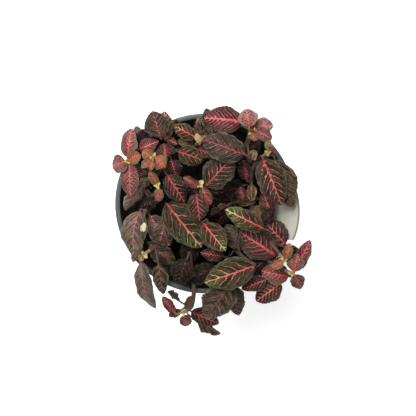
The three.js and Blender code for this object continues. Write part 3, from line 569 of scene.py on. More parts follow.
def model_blade(name, rows, strips):
    """A thin slab: x runs from foot to tip, y across, z is 0 below and 1 above."""
    deselect()
    bpy.ops.mesh.primitive_grid_add(x_subdivisions=rows, y_subdivisions=strips, size=2)
    bpy.context.object.name = name
    extrude((0, 0, 1))
    return bpy.context.object


def model_rod(name, rings, sides):
    """A rod of radius 1 along z, one ring of edges at each whole height."""
    deselect()
    bpy.ops.mesh.primitive_circle_add(vertices=sides, radius=1, fill_type="NGON")
    bpy.context.object.name = name
    extrude((0, 0, 1), times=rings)
    return bpy.context.object


def copy_of(master, name, places, material):
    """A copy with its own mesh, its corners moved to places in mm."""
    piece = master.copy()
    piece.data = master.data.copy()
    piece.name = name
    piece.data.vertices.foreach_set("co", (places * MM).ravel())
    piece.data.materials.append(material)
    bpy.context.scene.collection.objects.link(piece)
    return piece


# What a blade carries for its material at each corner, three numbers to a named attribute. flat
# and cells are plans of the blade to draw patterns on, the first in mm and the second in cells of
# the finest veins. place, veins and habit hold distances in mm and shares.
FIELDS = {
    "flat": ("down", "aside", "seed"),
    "place": ("along", "across", "half"),
    "veins": ("field", "spacing", "tone"),
    "cells": ("row", "cell", "stout"),
    "habit": ("fresh", "vigour", "bright"),
}


def write_fields(mesh, values):
    """The fields of a blade, by name, each one number for all corners or one for every corner."""
    for name, parts in FIELDS.items():
        layer = mesh.attributes.new(name, "FLOAT_VECTOR", "POINT")
        columns = [np.broadcast_to(values[part], len(mesh.vertices)) for part in parts]
        layer.data.foreach_set("vector", np.stack(columns, axis=1).astype(np.float32).ravel())


# Side veins leave the midrib at 50 to 60 degrees and bend towards the tip as they near the
# margin. A field that is whole on each side vein says where they run. Spacing and bend are
# shares of the blade's length, and lean is how far a vein runs along for each mm across.
VEIN_SPACING = (0.15, 0.19)
VEIN_LEAN = (0.55, 0.85)
VEIN_BEND = (0.14, 0.23)
VEIN_ASKEW = (-0.06, 0.06)

# Veins of one side stand this share of a spacing off those of the other, and the midrib turns
# a little towards each, by this many mm
VEIN_STAGGER = (0.2, 0.55)
MIDRIB_TURN = 0.12

# Each leaf reads its own stretch of the patterns, this many mm along for one unit of its seed
APART_ON_FLAT = 50

# Cells of the net of the finest veins, across and along the side veins in mm
CELL_WIDE = 1.1
CELL_LONG = 1.6

# Blades this long have veins of full width, and shorter ones finer veins, by this power
FULL_LENGTH = 30
FINER_BY = 0.7

# How leaves of one kind differ: the stretch of pattern they read, their tone, how strongly their
# veins show, and how bright they are
SEEDS = (0, 40)
TONE_SHIFT = (-1, 1)
VIGOUR = (0.72, 1.0)
BRIGHTNESS = (0.85, 1.15)

# Half-width in mm that a blade keeps at its foot and at its tip
LEAST_HALF = (0.45, 0.12)

# Nicks of the outline and scallops between the side veins, as shares of the half-width, and how
# fast the nicks change along a blade and from one side to the other
NICK_DEPTH = 0.22
NICKS_ALONG = 3.5
NICKS_ASIDE = 3
SCALLOP_DEPTH = 0.028

# The blade is drawn down beside its veins, in valleys this wide in mm, narrower at the midrib.
# Shorter blades are quilted less, and so is the narrow foot and tip of each.
VALLEY_WIDE = 0.9
MIDRIB_VALLEY = 1.3
QUILTED_LENGTH = 24
QUILT_FADE = 3

# Waves along each margin beside the ruffle: fine crimps, a share of its height, and long sways
CRIMP_SHARE = 0.5
CRIMPS_ALONG = 5.5
SWAYS_ALONG = 1.2


def vein_field(u, v, long, half, apart):
    """The field, how many mm across the veins one unit of it is, and the midrib's turns in mm."""
    habits = (VEIN_SPACING, VEIN_LEAN, VEIN_BEND, VEIN_ASKEW, VEIN_STAGGER)
    spacing, lean, bend, askew, stagger = (rng.uniform(*habit) for habit in habits)
    spacing *= apart
    full = half / half.max()
    aside = np.abs(v) * half / long
    field = (u - lean * aside - bend * full * v**2 + askew * v * full) / spacing
    field += stagger / 2 * np.sign(v)
    steep = np.hypot(1, lean + 2 * bend * np.abs(v) * long / half.max())
    turns = -MIDRIB_TURN * full * np.sin(2 * math.pi * u / spacing)
    return field, spacing * long / steep, turns


def blade_half(blade, t, u, v, seed):
    """Half-width at each corner: the outline, nicked here and there."""
    spots = [(seed, NICKS_ALONG * a, NICKS_ASIDE * (b > 0)) for a, b in zip(u, v)]
    nicks = np.array([noise.noise(Vector(spot)) for spot in spots])
    half = outline(u) * blade["wide"] / 2 * (1 + NICK_DEPTH * nicks)
    return np.maximum(half, np.interp(t, [0, 1], LEAST_HALF))


def blade_relief(blade, u, v, long, gap, seed):
    """How far a blade stands off its midrib: cupped and ruffled, quilted between its veins, and
    crimped at its margin. gap is the distance to the nearest vein."""
    share = outline(u)
    habit = KINDS[blade["kind"]]
    wave = np.sin(2 * math.pi * WAVES_ALONG_MARGIN * u) * np.abs(v) ** 3
    lift = share * (blade["cup"] * v**2 + habit["ruffle"] * wave)
    swell = 1 - np.exp(-((gap / VALLEY_WIDE) ** 2))
    quilt = habit["quilt"] * min(1, long / QUILTED_LENGTH) * swell * (1 - v**4)
    quilt *= np.minimum(1, QUILT_FADE * share)
    # Crimps and sways start elsewhere on each blade, and on each side of it
    crimp = np.sin(2 * math.pi * CRIMPS_ALONG * u + seed + v)
    crimp = CRIMP_SHARE * habit["ruffle"] * share * crimp * np.abs(v) ** 5
    sway = np.sin(2 * math.pi * SWAYS_ALONG * u + 7 * seed + 2 * v)
    sway = habit["ruffle"] * share * sway * v**2
    return lift + quilt + (crimp + sway)


def make_leaf(master, name, blade, line, material):
    """A copy of the slab laid along the midrib, with its relief and its material's fields."""
    slab = corners_of(master.data)
    t = (slab[:, 0] + 1) / 2
    v = slab[:, 1]
    u = (1 - np.cos(math.pi * t)) / 2
    long = np.linalg.norm(np.diff(bezier(line, np.linspace(0, 1, 20)), axis=0), axis=1).sum()
    seed = rng.uniform(*SEEDS)
    half = blade_half(blade, t, u, v, seed)
    field, spacing, turns = vein_field(u, v, long, half, KINDS[blade["kind"]]["apart"])
    half *= 1 - SCALLOP_DEPTH * np.cos(2 * math.pi * field) * np.abs(v) ** 3
    gap = np.abs(field - np.round(field)) * spacing
    gap = np.minimum(gap, MIDRIB_VALLEY * np.abs(v) * half)
    thick = BLADE_THICK + (MARGIN_THICK - BLADE_THICK) * v**2
    off = blade_relief(blade, u, v, long, gap, seed) + (slab[:, 2] - 0.5) * thick
    side, up = sideways(blade, line, u)
    places = bezier(line, u) + side * (v * half)[:, None] + up * off[:, None]
    piece = copy_of(master, name, places, material)
    values = {
        "down": u * long + APART_ON_FLAT * seed,
        "aside": v * half - turns,
        "seed": seed,
        "along": u,
        "across": v,
        "half": half,
        "field": field,
        "spacing": spacing,
        "tone": rng.uniform(*TONE_SHIFT),
        "row": field * spacing.max() / CELL_WIDE + APART_ON_FLAT * seed,
        "cell": v * half / CELL_LONG,
        "stout": min(1, (long / FULL_LENGTH) ** FINER_BY),
        "fresh": blade["fresh"],
        "vigour": rng.uniform(*VIGOUR),
        "bright": rng.uniform(*BRIGHTNESS) * blade["shade"],
    }
    write_fields(piece.data, values)
    return piece


# The corners of a rod's rings are counted from across this direction, unless the rod starts out
# nearly along Y
COUNTED_FROM = (0.3, 0.9, 0.2)
NEARLY_ALONG_Y = 0.9


def make_rod(master, name, path, radius, material):
    """A copy of the rod laid along a path. radius is a function of the share of the way along."""
    rod = corners_of(master.data)
    rings = int(round(rod[:, 2].max()))
    middle = evenly(path, rings)
    way = unit(np.gradient(middle, axis=0))
    first = COUNTED_FROM if abs(way[0][1]) < NEARLY_ALONG_Y else (1, 0, 0)
    turned = [unit(np.cross(way[0], first))]
    for along in way[1:]:
        turned.append(unit(turned[-1] - along * (turned[-1] @ along)))
    turned = np.array(turned)
    other = np.cross(way, turned)
    ring = np.round(rod[:, 2]).astype(int)
    wide = np.array([radius(share) for share in ring / rings])[:, None]
    places = middle[ring] + wide * (turned[ring] * rod[:, :1] + other[ring] * rod[:, 1:2])
    return copy_of(master, name, places, material)


def join(pieces, name):
    """Pieces that grew together, as one object at the origin with smooth faces."""
    deselect()
    for piece in pieces:
        piece.select_set(True)
    bpy.context.view_layer.objects.active = pieces[0]
    bpy.ops.object.join()
    whole = bpy.context.object
    whole.name = name
    whole.data.name = name
    bpy.ops.object.shade_smooth_by_angle(angle=math.radians(50))
    return whole


# Materials


def colour(code):
    """An sRGB hex value as linear colour."""
    parts = [int(code[k : k + 2], 16) / 255 for k in (1, 3, 5)]
    return [*(p / 12.92 if p < 0.04045 else ((p + 0.055) / 1.055) ** 2.4 for p in parts), 1]


def add(tree, kind, settings, links=None):
    """A node with its settings, by property or socket, and the outputs that feed it."""
    node = tree.nodes.new("ShaderNode" + kind)
    for name, value in settings.items():
        if isinstance(name, str) and hasattr(node, name):
            setattr(node, name, value)
        else:
            node.inputs[name].default_value = value
    for name, source in (links or {}).items():
        output = source.outputs[0] if isinstance(source, bpy.types.Node) else source
        tree.links.new(output, node.inputs[name])
    return node


def new_material(name, settings):
    """A material with its principled shader set to the finish's own values."""
    made = bpy.data.materials.new(name)
    made.use_nodes = True
    shader = made.node_tree.nodes["Principled BSDF"]
    for socket, value in settings.items():
        shader.inputs[socket].default_value = value
    return made, made.node_tree, shader


# Settings that many nodes share
TIMES = {"operation": "MULTIPLY"}
TIMES_AND_PLUS = {"operation": "MULTIPLY_ADD"}
PLUS = {"operation": "ADD"}
LESS = {"operation": "SUBTRACT"}
SIZE_OF = {"operation": "ABSOLUTE"}
LARGER = {"operation": "MAXIMUM"}
SMALLER = {"operation": "MINIMUM"}
SOFTLY = {"interpolation_type": "SMOOTHSTEP"}

# Sizes of a leaf's patterns in mm: soft patches, the sway of its veins and margin, the beads
# along its veins, and the grain of its cuticle, drawn coarser than the real one so that it shows
PATCH_ACROSS = 7
SWAY_LONG = 5
BEAD_APART = 1.8
GRAIN_ACROSS = 0.5

# Dark streaks about 2 mm across and 7 mm long, by how the cells' plan is drawn out and scaled
STREAK_DRAWN_OUT = (1, 0.36, 0)
STREAK_SCALE = 0.6

# Loops that join the side veins run at this share of the half-width
LOOPS_AT = 0.8

# How deep in mm the relief of a leaf's skin is
SKIN_DEPTH = 0.14

# Tones that all kinds share: new growth and its veins, the thin pale edge, and the painted
# highlight on beads of the veins
NEW_GREEN = "#85a04c"
NEW_VEIN = "#eadfb0"
THIN_EDGE = "#8f907c"
VEIN_BEAD_HIGHLIGHT = "#ee8f88"


def read_fields(tree):
    """The fields of a blade and the parts of each, by name."""
    at = {}
    for name, parts in FIELDS.items():
        at[name] = add(tree, "Attribute", {"attribute_name": name}).outputs["Vector"]
        at.update(zip(parts, add(tree, "SeparateXYZ", {}, {0: at[name]}).outputs))
    at["out"] = add(tree, "Math", SIZE_OF, {0: at["across"]})
    at["mid_gap"] = add(tree, "Math", SIZE_OF, {0: at["aside"]})
    return at


def mottle_blade(tree, at):
    """Soft patches, which show as two tones of blade and as veins that show more or less."""
    soft = {"Scale": 1 / PATCH_ACROSS, "Detail": 3.0, "Roughness": 0.6}
    patch = add(tree, "TexNoise", soft, {"Vector": at["flat"]})
    patch = add(tree, "Math", {**TIMES_AND_PLUS, 1: 0.18}, {0: at["tone"], 2: patch})
    at["patch"] = add(tree, "MapRange", {"From Min": 0.35, "From Max": 0.65}, {"Value": patch})


def side_veins(tree, at, look):
    """Side veins: wandering a little, webbed where they leave the midrib, then finer and fainter,
    and swollen here and there in beads."""
    sway = add(tree, "TexNoise", {"Scale": 1 / SWAY_LONG, "Detail": 2.0}, {"Vector": at["flat"]})
    at["sway"] = add(tree, "Math", {**TIMES_AND_PLUS, 1: 0.8, 2: -0.4}, {0: sway})
    at["field"] = add(tree, "Math", PLUS, {0: at["field"], 1: at["sway"]})
    side = add(tree, "Math", {"operation": "PINGPONG", 1: 0.5}, {0: at["field"]})
    at["side_gap"] = add(tree, "Math", TIMES, {0: side, 1: at["spacing"]})
    web = {"From Max": 1.8, "To Min": look["side"] * 1.7, "To Max": look["side"], **SOFTLY}
    wide = add(tree, "MapRange", web, {"Value": at["mid_gap"]})
    taper = add(tree, "MapRange", {"To Min": 1.0, "To Max": 0.4}, {"Value": at["out"]})
    beads = {"Scale": 1 / BEAD_APART, "Detail": 1.0}
    at["bead"] = add(tree, "TexNoise", beads, {"Vector": at["flat"]})
    swollen = {"From Min": 0.35, "From Max": 0.65, "To Min": 0.6, "To Max": 1.45}
    swollen = add(tree, "MapRange", swollen, {"Value": at["bead"]})
    for share in (taper, at["stout"], swollen):
        wide = add(tree, "Math", TIMES, {0: wide, 1: share})
    inside = add(tree, "Math", LESS, {0: wide, 1: at["side_gap"]})
    vein = add(tree, "MapRange", {"From Min": -0.12, "From Max": 0.06}, {"Value": inside})
    fade = {"From Min": 0.5, "From Max": 0.95, "To Min": 1.0, "To Max": 0.12}
    fade = add(tree, "MapRange", fade, {"Value": at["out"]})
    begun = add(tree, "MapRange", {"From Min": -0.45, "From Max": 0.05}, {"Value": at["field"]})
    strong = add(tree, "MapRange", {"To Min": 1.0, "To Max": 0.6}, {"Value": at["patch"]})
    for share in (begun, strong):
        fade = add(tree, "Math", TIMES, {0: fade, 1: share})
    return add(tree, "Math", TIMES, {0: vein, 1: fade})


def midrib(tree, at, look):
    """Midrib: broad at the foot, fine at the tip."""
    wide = {"To Min": look["midrib"], "To Max": look["midrib"] * 0.35}
    wide = add(tree, "MapRange", wide, {"Value": at["along"]})
    wide = add(tree, "Math", TIMES, {0: wide, 1: at["stout"]})
    inside = add(tree, "Math", LESS, {0: wide, 1: at["mid_gap"]})
    return add(tree, "MapRange", {"From Min": -0.12, "From Max": 0.08}, {"Value": inside})


def vein_loops(tree, at, look):
    """Loops that join the side veins near the margin."""
    turn = add(tree, "Math", {**TIMES, 1: 2 * math.pi}, {0: at["field"]})
    turn = add(tree, "Math", {"operation": "COSINE"}, {0: turn})
    loop = add(tree, "Math", {**TIMES_AND_PLUS, 1: 0.05}, {0: turn, 2: at["out"]})
    loop = add(tree, "Math", {**LESS, 1: LOOPS_AT}, {0: loop})
    loop = add(tree, "Math", SIZE_OF, {0: loop})
    loop = add(tree, "Math", TIMES, {0: loop, 1: at["half"]})
    drawn = {"From Min": 0.35, "From Max": 0.1, "To Max": look["loops"]}
    return add(tree, "MapRange", drawn, {"Value": loop})


def all_veins(tree, at, look):
    """Where veins show: side veins and midrib, loops, and the net of the finest veins, whose
    cells are about 1.3 mm across."""
    side = side_veins(tree, at, look)
    cells = {"feature": "DISTANCE_TO_EDGE", "voronoi_dimensions": "2D", "Scale": 1.0}
    at["mesh"] = add(tree, "TexVoronoi", cells, {"Vector": at["cells"]})
    net = {"From Min": 0.16, "From Max": 0.03, "To Max": look["net"]}
    net = add(tree, "MapRange", net, {"Value": at["mesh"]})
    broad = add(tree, "Math", LARGER, {0: side, 1: midrib(tree, at, look)})
    fine = add(tree, "Math", LARGER, {0: vein_loops(tree, at, look), 1: net})
    at["near"] = add(tree, "Math", SMALLER, {0: at["side_gap"], 1: at["mid_gap"]})
    at["vein"] = add(tree, "Math", LARGER, {0: broad, 1: fine})


def blade_colour(tree, at, look):
    """The blade in two tones under layers of others. Beside a vein a grown blade is darkened as
    painted shade of the valley there, and a young one is red that has run out. New growth is
    yellow-green towards its tip. Dark streaks follow the side veins, dark islands fill the net and
    grow towards the margin, and the margin has a tone of its own, on grown blades paler in part as
    painted sheen, with a wavy inner border and a thin pale edge."""
    new = add(tree, "MapRange", {"From Min": 0.5, "From Max": 1.0}, {"Value": at["along"]})
    at["new"] = add(tree, "Math", TIMES, {0: new, 1: at["fresh"]})
    # Painted shade of the valleys beside the veins on grown blades, red that has run out on young
    # ones
    halo = {"From Min": 1.4, "From Max": 0.3, "To Max": look["halo"]}
    halo = add(tree, "MapRange", halo, {"Value": at["near"]})
    drawn = add(tree, "VectorMath", {**TIMES, 1: STREAK_DRAWN_OUT}, {0: at["cells"]})
    grown = {"Scale": STREAK_SCALE, "Detail": 2.0, "Roughness": 0.6}
    at["grown"] = add(tree, "TexNoise", grown, {"Vector": drawn})
    streak = {"From Min": 0.43, "From Max": 0.56, "To Max": look["streaks"]}
    streak = add(tree, "MapRange", streak, {"Value": at["grown"]})
    island = {"From Min": 0.06, "From Max": 0.26, "To Max": look["islands"]}
    island = add(tree, "MapRange", island, {"Value": at["mesh"]})
    spread = {"From Min": 0.05, "From Max": 0.6, "To Min": 0.3}
    spread = add(tree, "MapRange", spread, {"Value": at["out"]})
    island = add(tree, "Math", TIMES, {0: island, 1: spread})
    # The margin's tone, on grown blades paler in part as painted sheen
    border = add(tree, "Math", PLUS, {0: at["out"], 1: at["sway"]})
    rim = {"From Min": look["rim_from"], "From Max": look["rim_from"] + 0.14, "To Max": look["rims"]}
    rim = add(tree, "MapRange", rim, {"Value": border})
    edge = {"From Min": 0.92, "From Max": 0.99, "To Max": look["edge"]}
    edge = add(tree, "MapRange", edge, {"Value": at["out"]})
    tones = {1: colour(look["blade"]), 2: colour(look["second"])}
    skin = add(tree, "MixRGB", tones, {0: at["patch"]})
    layers = (
        (at["new"], NEW_GREEN),
        (halo, look["beside"]),
        (streak, look["island"]),
        (island, look["island"]),
        (rim, look["rim"]),
        (edge, THIN_EDGE),
    )
    for share, tone in layers:
        skin = add(tree, "MixRGB", {2: colour(tone)}, {0: share, 1: skin})
    return skin


def vein_colour(tree, at, look):
    """The veins' colour, redder at the foot, another towards the margin, with a painted highlight on
    the beads.
    """
    red = add(tree, "ValToRGB", {}, {0: at["along"]})
    foot, beyond = red.color_ramp.elements
    foot.color = colour(look["vein_foot"])
    beyond.color = colour(look["vein"])
    beyond.position = 0.5
    far = add(tree, "MapRange", {"From Min": 0.12, "From Max": 0.85}, {"Value": at["out"]})
    # Painted highlight: the veins are paler where they swell in beads
    lit = {"From Min": 0.48, "From Max": 0.66, "To Max": 0.5}
    lit = add(tree, "MapRange", lit, {"Value": at["bead"]})
    for share, tone in ((far, look["vein_far"]), (lit, VEIN_BEAD_HIGHLIGHT), (at["new"], NEW_VEIN)):
        red = add(tree, "MixRGB", {2: colour(tone)}, {0: share, 1: red})
    return red


def skin_height(tree, at, look):
    """Sunken veins, panels and cells that swell between them, and the grain of the cuticle."""
    grain = {"Scale": 1 / GRAIN_ACROSS, "Detail": 2.0}
    grain = add(tree, "TexNoise", grain, {"Vector": at["flat"]})
    swell = add(tree, "MapRange", {"From Max": 0.35, "To Max": 1.6}, {"Value": at["mesh"]})
    panel = {"From Max": 1.2, "To Max": look["panels"], **SOFTLY}
    panel = add(tree, "MapRange", panel, {"Value": at["near"]})
    height = add(tree, "Math", {**TIMES_AND_PLUS, 1: -0.8}, {0: at["vein"], 2: grain})
    height = add(tree, "Math", PLUS, {0: height, 1: swell})
    height = add(tree, "Math", {**TIMES_AND_PLUS, 1: -2.0}, {0: at["grown"], 2: height})
    return add(tree, "Math", PLUS, {0: height, 1: panel})


def leaf_finish(name, look, shine):
    """A living leaf: waxy cuticle over green, with coloured veins that end before the margin."""
    made, tree, shader = new_material(name, shine)
    at = read_fields(tree)
    mottle_blade(tree, at)
    all_veins(tree, at, look)
    blade = blade_colour(tree, at, look)
    red = vein_colour(tree, at, look)
    shown = add(tree, "Math", {**TIMES, 1: look["veins"]}, {0: at["vein"]})
    shown = add(tree, "Math", TIMES, {0: shown, 1: at["vigour"]})
    skin = add(tree, "MixRGB", {}, {0: shown, 1: blade, 2: red})
    skin = add(tree, "HueSaturation", {}, {"Color": skin, "Value": at["bright"]})
    tree.links.new(skin.outputs[0], shader.inputs["Base Color"])
    deep = {"Strength": 0.8, "Distance": SKIN_DEPTH * MM}
    bump = add(tree, "Bump", deep, {"Height": skin_height(tree, at, look)})
    tree.links.new(bump.outputs[0], shader.inputs["Normal"])
    return made


# What gives a leaf its shine: the hard wax of young blades, the softer bloom of older ones, and
# dead skin that has none
WAX = {"Roughness": 0.26, "IOR": 1.42, "Specular IOR Level": 0.4}
SOFT_WAX = {"Roughness": 0.42, "IOR": 1.4, "Specular IOR Level": 0.13}
DRY = {"Roughness": 0.75, "IOR": 1.4, "Specular IOR Level": 0.1}

# beside is the tone next to the veins: on grown kinds a dark painted shade of the valleys, on young
# kinds red that has run out. rim is the margin's tone: on grown kinds paler, partly as painted sheen,
# on young kinds their own olive or tan.
TONES = ("blade", "second", "island", "rim", "beside", "vein_foot", "vein", "vein_far")

# A full-grown blade. side and midrib are half-widths of the veins at their foot in mm, rim_from
# is where the margin's tone starts out from the midrib, and panels is how high the skin swells
# between veins beside its grain. The rest say how strongly each thing shows, 1 at most.
GROWN = {
    "veins": 0.95,
    "side": 0.24,
    "midrib": 0.48,
    "loops": 0.3,
    "net": 0.06,
    "halo": 0.7,
    "panels": 2.5,
    "streaks": 0.8,
    "islands": 0.25,
    "rim_from": 0.84,
    "rims": 0.5,
    "edge": 0.3,
}


def look(tones, **shares):
    """A kind's tones in the order above, and what it shows unlike a full-grown blade."""
    return {**GROWN, **shares, **dict(zip(TONES, tones.split()))}


LOOKS = {
    # Full-grown blade: nearly black green, coral veins
    "mature": look(
        "#3a4a34 #4a4037 #0c130d #585244 #131510 #b02436 #cc5a5e #905c58",
        side=0.27, midrib=0.62, streaks=0.85,
    ),
    # Full-grown blade that has lost its depth: mauve-brown and black-green, with duller veins
    "dull": look(
        "#535946 #64584c #141a12 #6a6f5b #2a241e #98243a #a84f57 #86585a", side=0.2, net=0.1
    ),
    # The same, painted grey all over as the sheen that raking light gives it
    "greyed": look(
        "#746c5f #5c5d4c #2a2f23 #80796c #4a4036 #98444c #b46668 #8c6a62", veins=0.75, side=0.22,
        net=0.1,
    ),
    # Blade between young and full-grown: dark, but rose has run out of the veins
    "flushed": look(
        "#3f4634 #4c3834 #10130c #4c4c3c #46242a #c0243c #e06a72 #a86464",
        side=0.27, midrib=0.95, halo=0.55, net=0.2,
    ),
    # Younger blade: leaf green, salmon veins, a paler tip
    "green": look(
        "#334429 #42412c #0d1b0b #4a5c37 #121c0c #b8303c #de6866 #b4665c",
        side=0.3, midrib=0.66, streaks=0.9,
    ),
    # Old blade: dull brown olive, faded rose veins
    "olive": look(
        "#625a43 #7a6a52 #1b1a13 #6e6850 #2c241b #7d463d #946454 #7c6050",
        veins=0.5, side=0.2, streaks=0.95,
    ),
    # Oldest blade: greyed mauve, its veins hardly darker than rose dust
    "faded": look(
        "#a39487 #7a6f60 #3c362b #9a9282 #6a5c52 #a0645e #b47c74 #947a6f", veins=0.6, net=0.12
    ),
    # Blade in the shade of the others, painted darker for that shade: brown-black, dark red veins
    "deep": look(
        "#29241a #30261b #0b0906 #302b1f #120f0a #54221f #6a302c #42302a", veins=0.45, side=0.18,
        edge=0.1,
    ),
    # Young blade: the veins have flooded it with rose, with dark islands between them
    "rose": look(
        "#8c3c36 #743638 #2c1516 #4a4436 #a23a36 #b83a38 #d08e88 #a8625a",
        veins=0.85, side=0.17, midrib=0.44, net=0.55, halo=0.6, islands=1.0, rim_from=0.56,
        rims=0.9, edge=0.5, panels=1,
    ),
    # Young blade in strong light: rose, with its sheen painted in as grey tan
    "blush": look(
        "#a05248 #a88c7a #4c2422 #84765f #a84c46 #b84844 #dc9a90 #c08a7e",
        veins=0.85, side=0.17, midrib=0.44, net=0.55, halo=0.5, islands=0.9, rim_from=0.62,
        rims=0.8, edge=0.5, panels=1,
    ),
    # Young blade that darkens: wine red, with a dark margin
    "crimson": look(
        "#742c2a #562524 #1e1211 #3a3a28 #802e2c #a83436 #c05a58 #8a4844",
        veins=0.85, side=0.26, net=0.35, halo=0.5, islands=0.5, rim_from=0.68, rims=0.9,
        panels=1.5, streaks=0.9,
    ),
    # Youngest open blade: orange-red, with an olive margin
    "ember": look(
        "#a4452f #945438 #5c3022 #525a2f #b24330 #c24634 #dc8e6e #b06a4c",
        veins=0.75, side=0.16, midrib=0.36, net=0.3, halo=0.5, islands=0.55, rim_from=0.55,
        rims=1.0, edge=0.45, panels=1, streaks=0.7,
    ),
    # The same blade as it darkens to its grown colour
    "russet": look(
        "#8c3a2c #703024 #2a1c15 #42482a #9c3c2e #a84034 #c07868 #8f5c48",
        veins=0.75, side=0.2, midrib=0.38, net=0.3, halo=0.5, islands=0.6, rim_from=0.64,
        rims=1.0, edge=0.4, panels=1, streaks=0.9,
    ),
    # Bud leaf: yellow-green with a touch of salmon, and hardly any veins
    "pale": look(
        "#b6bd84 #cba184 #808f54 #86975a #c99878 #cf8a68 #dba890 #b8b078",
        veins=0.6, side=0.18, midrib=0.45, net=0.1, halo=0.25, islands=0.35, edge=0, panels=0.5,
        streaks=0.6,
    ),
    # Bud leaf that has not greened yet: cream, with a green shade along its middle
    "cream": look(
        "#e2dfb8 #d6d4a4 #c0c08e #c8c898 #c9c990 #cfc48c #ddd2a4 #d4cfa0",
        veins=0.3, side=0.12, midrib=0.4, net=0, halo=0.2, islands=0.1, edge=0, panels=0.5,
        streaks=0.2,
    ),
    # Folded leaf at the growing tip: yellow, with a green margin
    "bud": look(
        "#c6c46c #a9b062 #8f9450 #93a65e #b9b263 #c2ae6a #d0c887 #b5ac6c",
        veins=0.3, side=0.12, midrib=0.25, net=0, halo=0.1, islands=0.1, edge=0, panels=0.5,
        streaks=0.2,
    ),
    # Bract at a joint of the stem: dry rose tan, cream along the middle, partly as a painted
    # highlight on its curl
    "bract": look(
        "#74523e #94784f #3a281c #a08e70 #6f5038 #a08c60 #a8976c #6f5038",
        veins=0.35, side=-0.2, midrib=1.1, loops=0, net=0, halo=0, rim_from=0.7, rims=0.6,
        panels=0.5,
    ),
    # Dying blade: tan and brown, without its wax
    "withered": look(
        "#7a6544 #4c3c2b #3c3022 #857250 #3f3122 #60402f #7a5540 #684c38",
        veins=0.6, side=0.18, midrib=0.36, net=0.15, halo=0.3, islands=0.45, rim_from=0.7,
    ),
}
SHINY = ("rose", "blush", "crimson", "ember", "russet", "pale", "cream", "bud")
SHINES = {kind: WAX if kind in SHINY else SOFT_WAX for kind in KINDS}
SHINES["withered"] = DRY
SHINES["bract"] = DRY


def two_tones(tree, tones, patch_mm, shown, fineness):
    """Tones mottled together in patches of a size: where it is, the second's share, the skin."""
    spot = add(tree, "TexCoord", {}).outputs["Object"]
    share = {"Scale": 1 / (patch_mm * MM), **fineness}
    share = add(tree, "TexNoise", share, {"Vector": spot})
    share = add(tree, "MapRange", shown, {"Value": share})
    skin = add(tree, "MixRGB", {1: colour(tones[0]), 2: colour(tones[1])}, {0: share})
    return spot, share, skin


def stem_finish(name, tones, patch_mm):
    """A fleshy stem: matt, downy skin, mottled along its length."""
    made, tree, shader = new_material(name, {"Roughness": 0.6, "Specular IOR Level": 0.35})
    shown = {"From Min": 0.38, "From Max": 0.62}
    spot, _, skin = two_tones(tree, tones, patch_mm, shown, {"Detail": 4.0})
    tree.links.new(skin.outputs[0], shader.inputs["Base Color"])
    down_mm = 0.5
    down = add(tree, "TexNoise", {"Scale": 1 / (down_mm * MM), "Detail": 2.0}, {"Vector": spot})
    bump = add(tree, "Bump", {"Strength": 0.5, "Distance": 0.15 * MM}, {"Height": down})
    tree.links.new(bump.outputs[0], shader.inputs["Normal"])
    return made


def polypropylene(name, tones):
    """Injection-moulded polypropylene: satin, finely sparked, with patches rubbed paler."""
    made, tree, shader = new_material(name, {"Specular IOR Level": 0.5, "IOR": 1.49})
    rubbed_mm = 22
    shown = {"From Min": 0.35, "From Max": 0.68}
    fine = {"Detail": 5.0, "Roughness": 0.65}
    spot, rubbed, skin = two_tones(tree, tones, rubbed_mm, shown, fine)
    tree.links.new(skin.outputs[0], shader.inputs["Base Color"])
    satin = add(tree, "MapRange", {"To Min": 0.4, "To Max": 0.55}, {"Value": rubbed})
    tree.links.new(satin.outputs[0], shader.inputs["Roughness"])
    spark_mm = 0.45
    spark = add(tree, "TexNoise", {"Scale": 1 / (spark_mm * MM), "Detail": 2.0}, {"Vector": spot})
    bump = add(tree, "Bump", {"Strength": 0.35, "Distance": 0.05 * MM}, {"Height": spark})
    tree.links.new(bump.outputs[0], shader.inputs["Normal"])
    return made


def polystyrene(name, tones, painted_shade):
    """Rigid sheet plastic of a plant tag: off-white, faintly soiled, with a soft gloss and a
    brown line of painted shade along its rounded outer end."""
    gloss = {"Roughness": 0.4, "Specular IOR Level": 0.45, "IOR": 1.5}
    made, tree, shader = new_material(name, gloss)
    soiled_mm = 9
    shown = {"From Min": 0.4, "From Max": 0.75, "To Max": 0.6}
    fine = {"Detail": 6.0, "Roughness": 0.7}
    spot, _, skin = two_tones(tree, tones, soiled_mm, shown, fine)
    # Painted shade: a brown line along the rounded outer end, where the sheet's edge lies in shadow
    middle = np.array(TAG_FOOT) + TAG_UP * (TAG_ABOVE - TAG_END_RADIUS)
    reach = {"operation": "DISTANCE", 1: tuple(middle * MM)}
    reach = add(tree, "VectorMath", reach, {0: spot}).outputs["Value"]
    faint, full = ((TAG_END_RADIUS - inside) * MM for inside in TAG_EDGE_SHADE_INSIDE)
    line = {"From Min": faint, "From Max": full, "To Max": 0.85}
    line = add(tree, "MapRange", line, {"Value": reach})
    skin = add(tree, "MixRGB", {2: colour(painted_shade)}, {0: line, 1: skin})
    tree.links.new(skin.outputs[0], shader.inputs["Base Color"])
    return made


def crumbly(name, tones, grain_mm):
    """Peat, bark fines or perlite in damp potting mix: crumbly, without any shine."""
    made, tree, shader = new_material(name, {"Roughness": 0.95, "Specular IOR Level": 0.15})
    shown = {"From Min": 0.4, "From Max": 0.7}
    _, crumb, skin = two_tones(tree, tones, grain_mm, shown, {"Detail": 5.0, "Roughness": 0.7})
    tree.links.new(skin.outputs[0], shader.inputs["Base Color"])
    bump = add(tree, "Bump", {"Strength": 0.8, "Distance": 0.4 * MM}, {"Height": crumb})
    tree.links.new(bump.outputs[0], shader.inputs["Normal"])
    return made


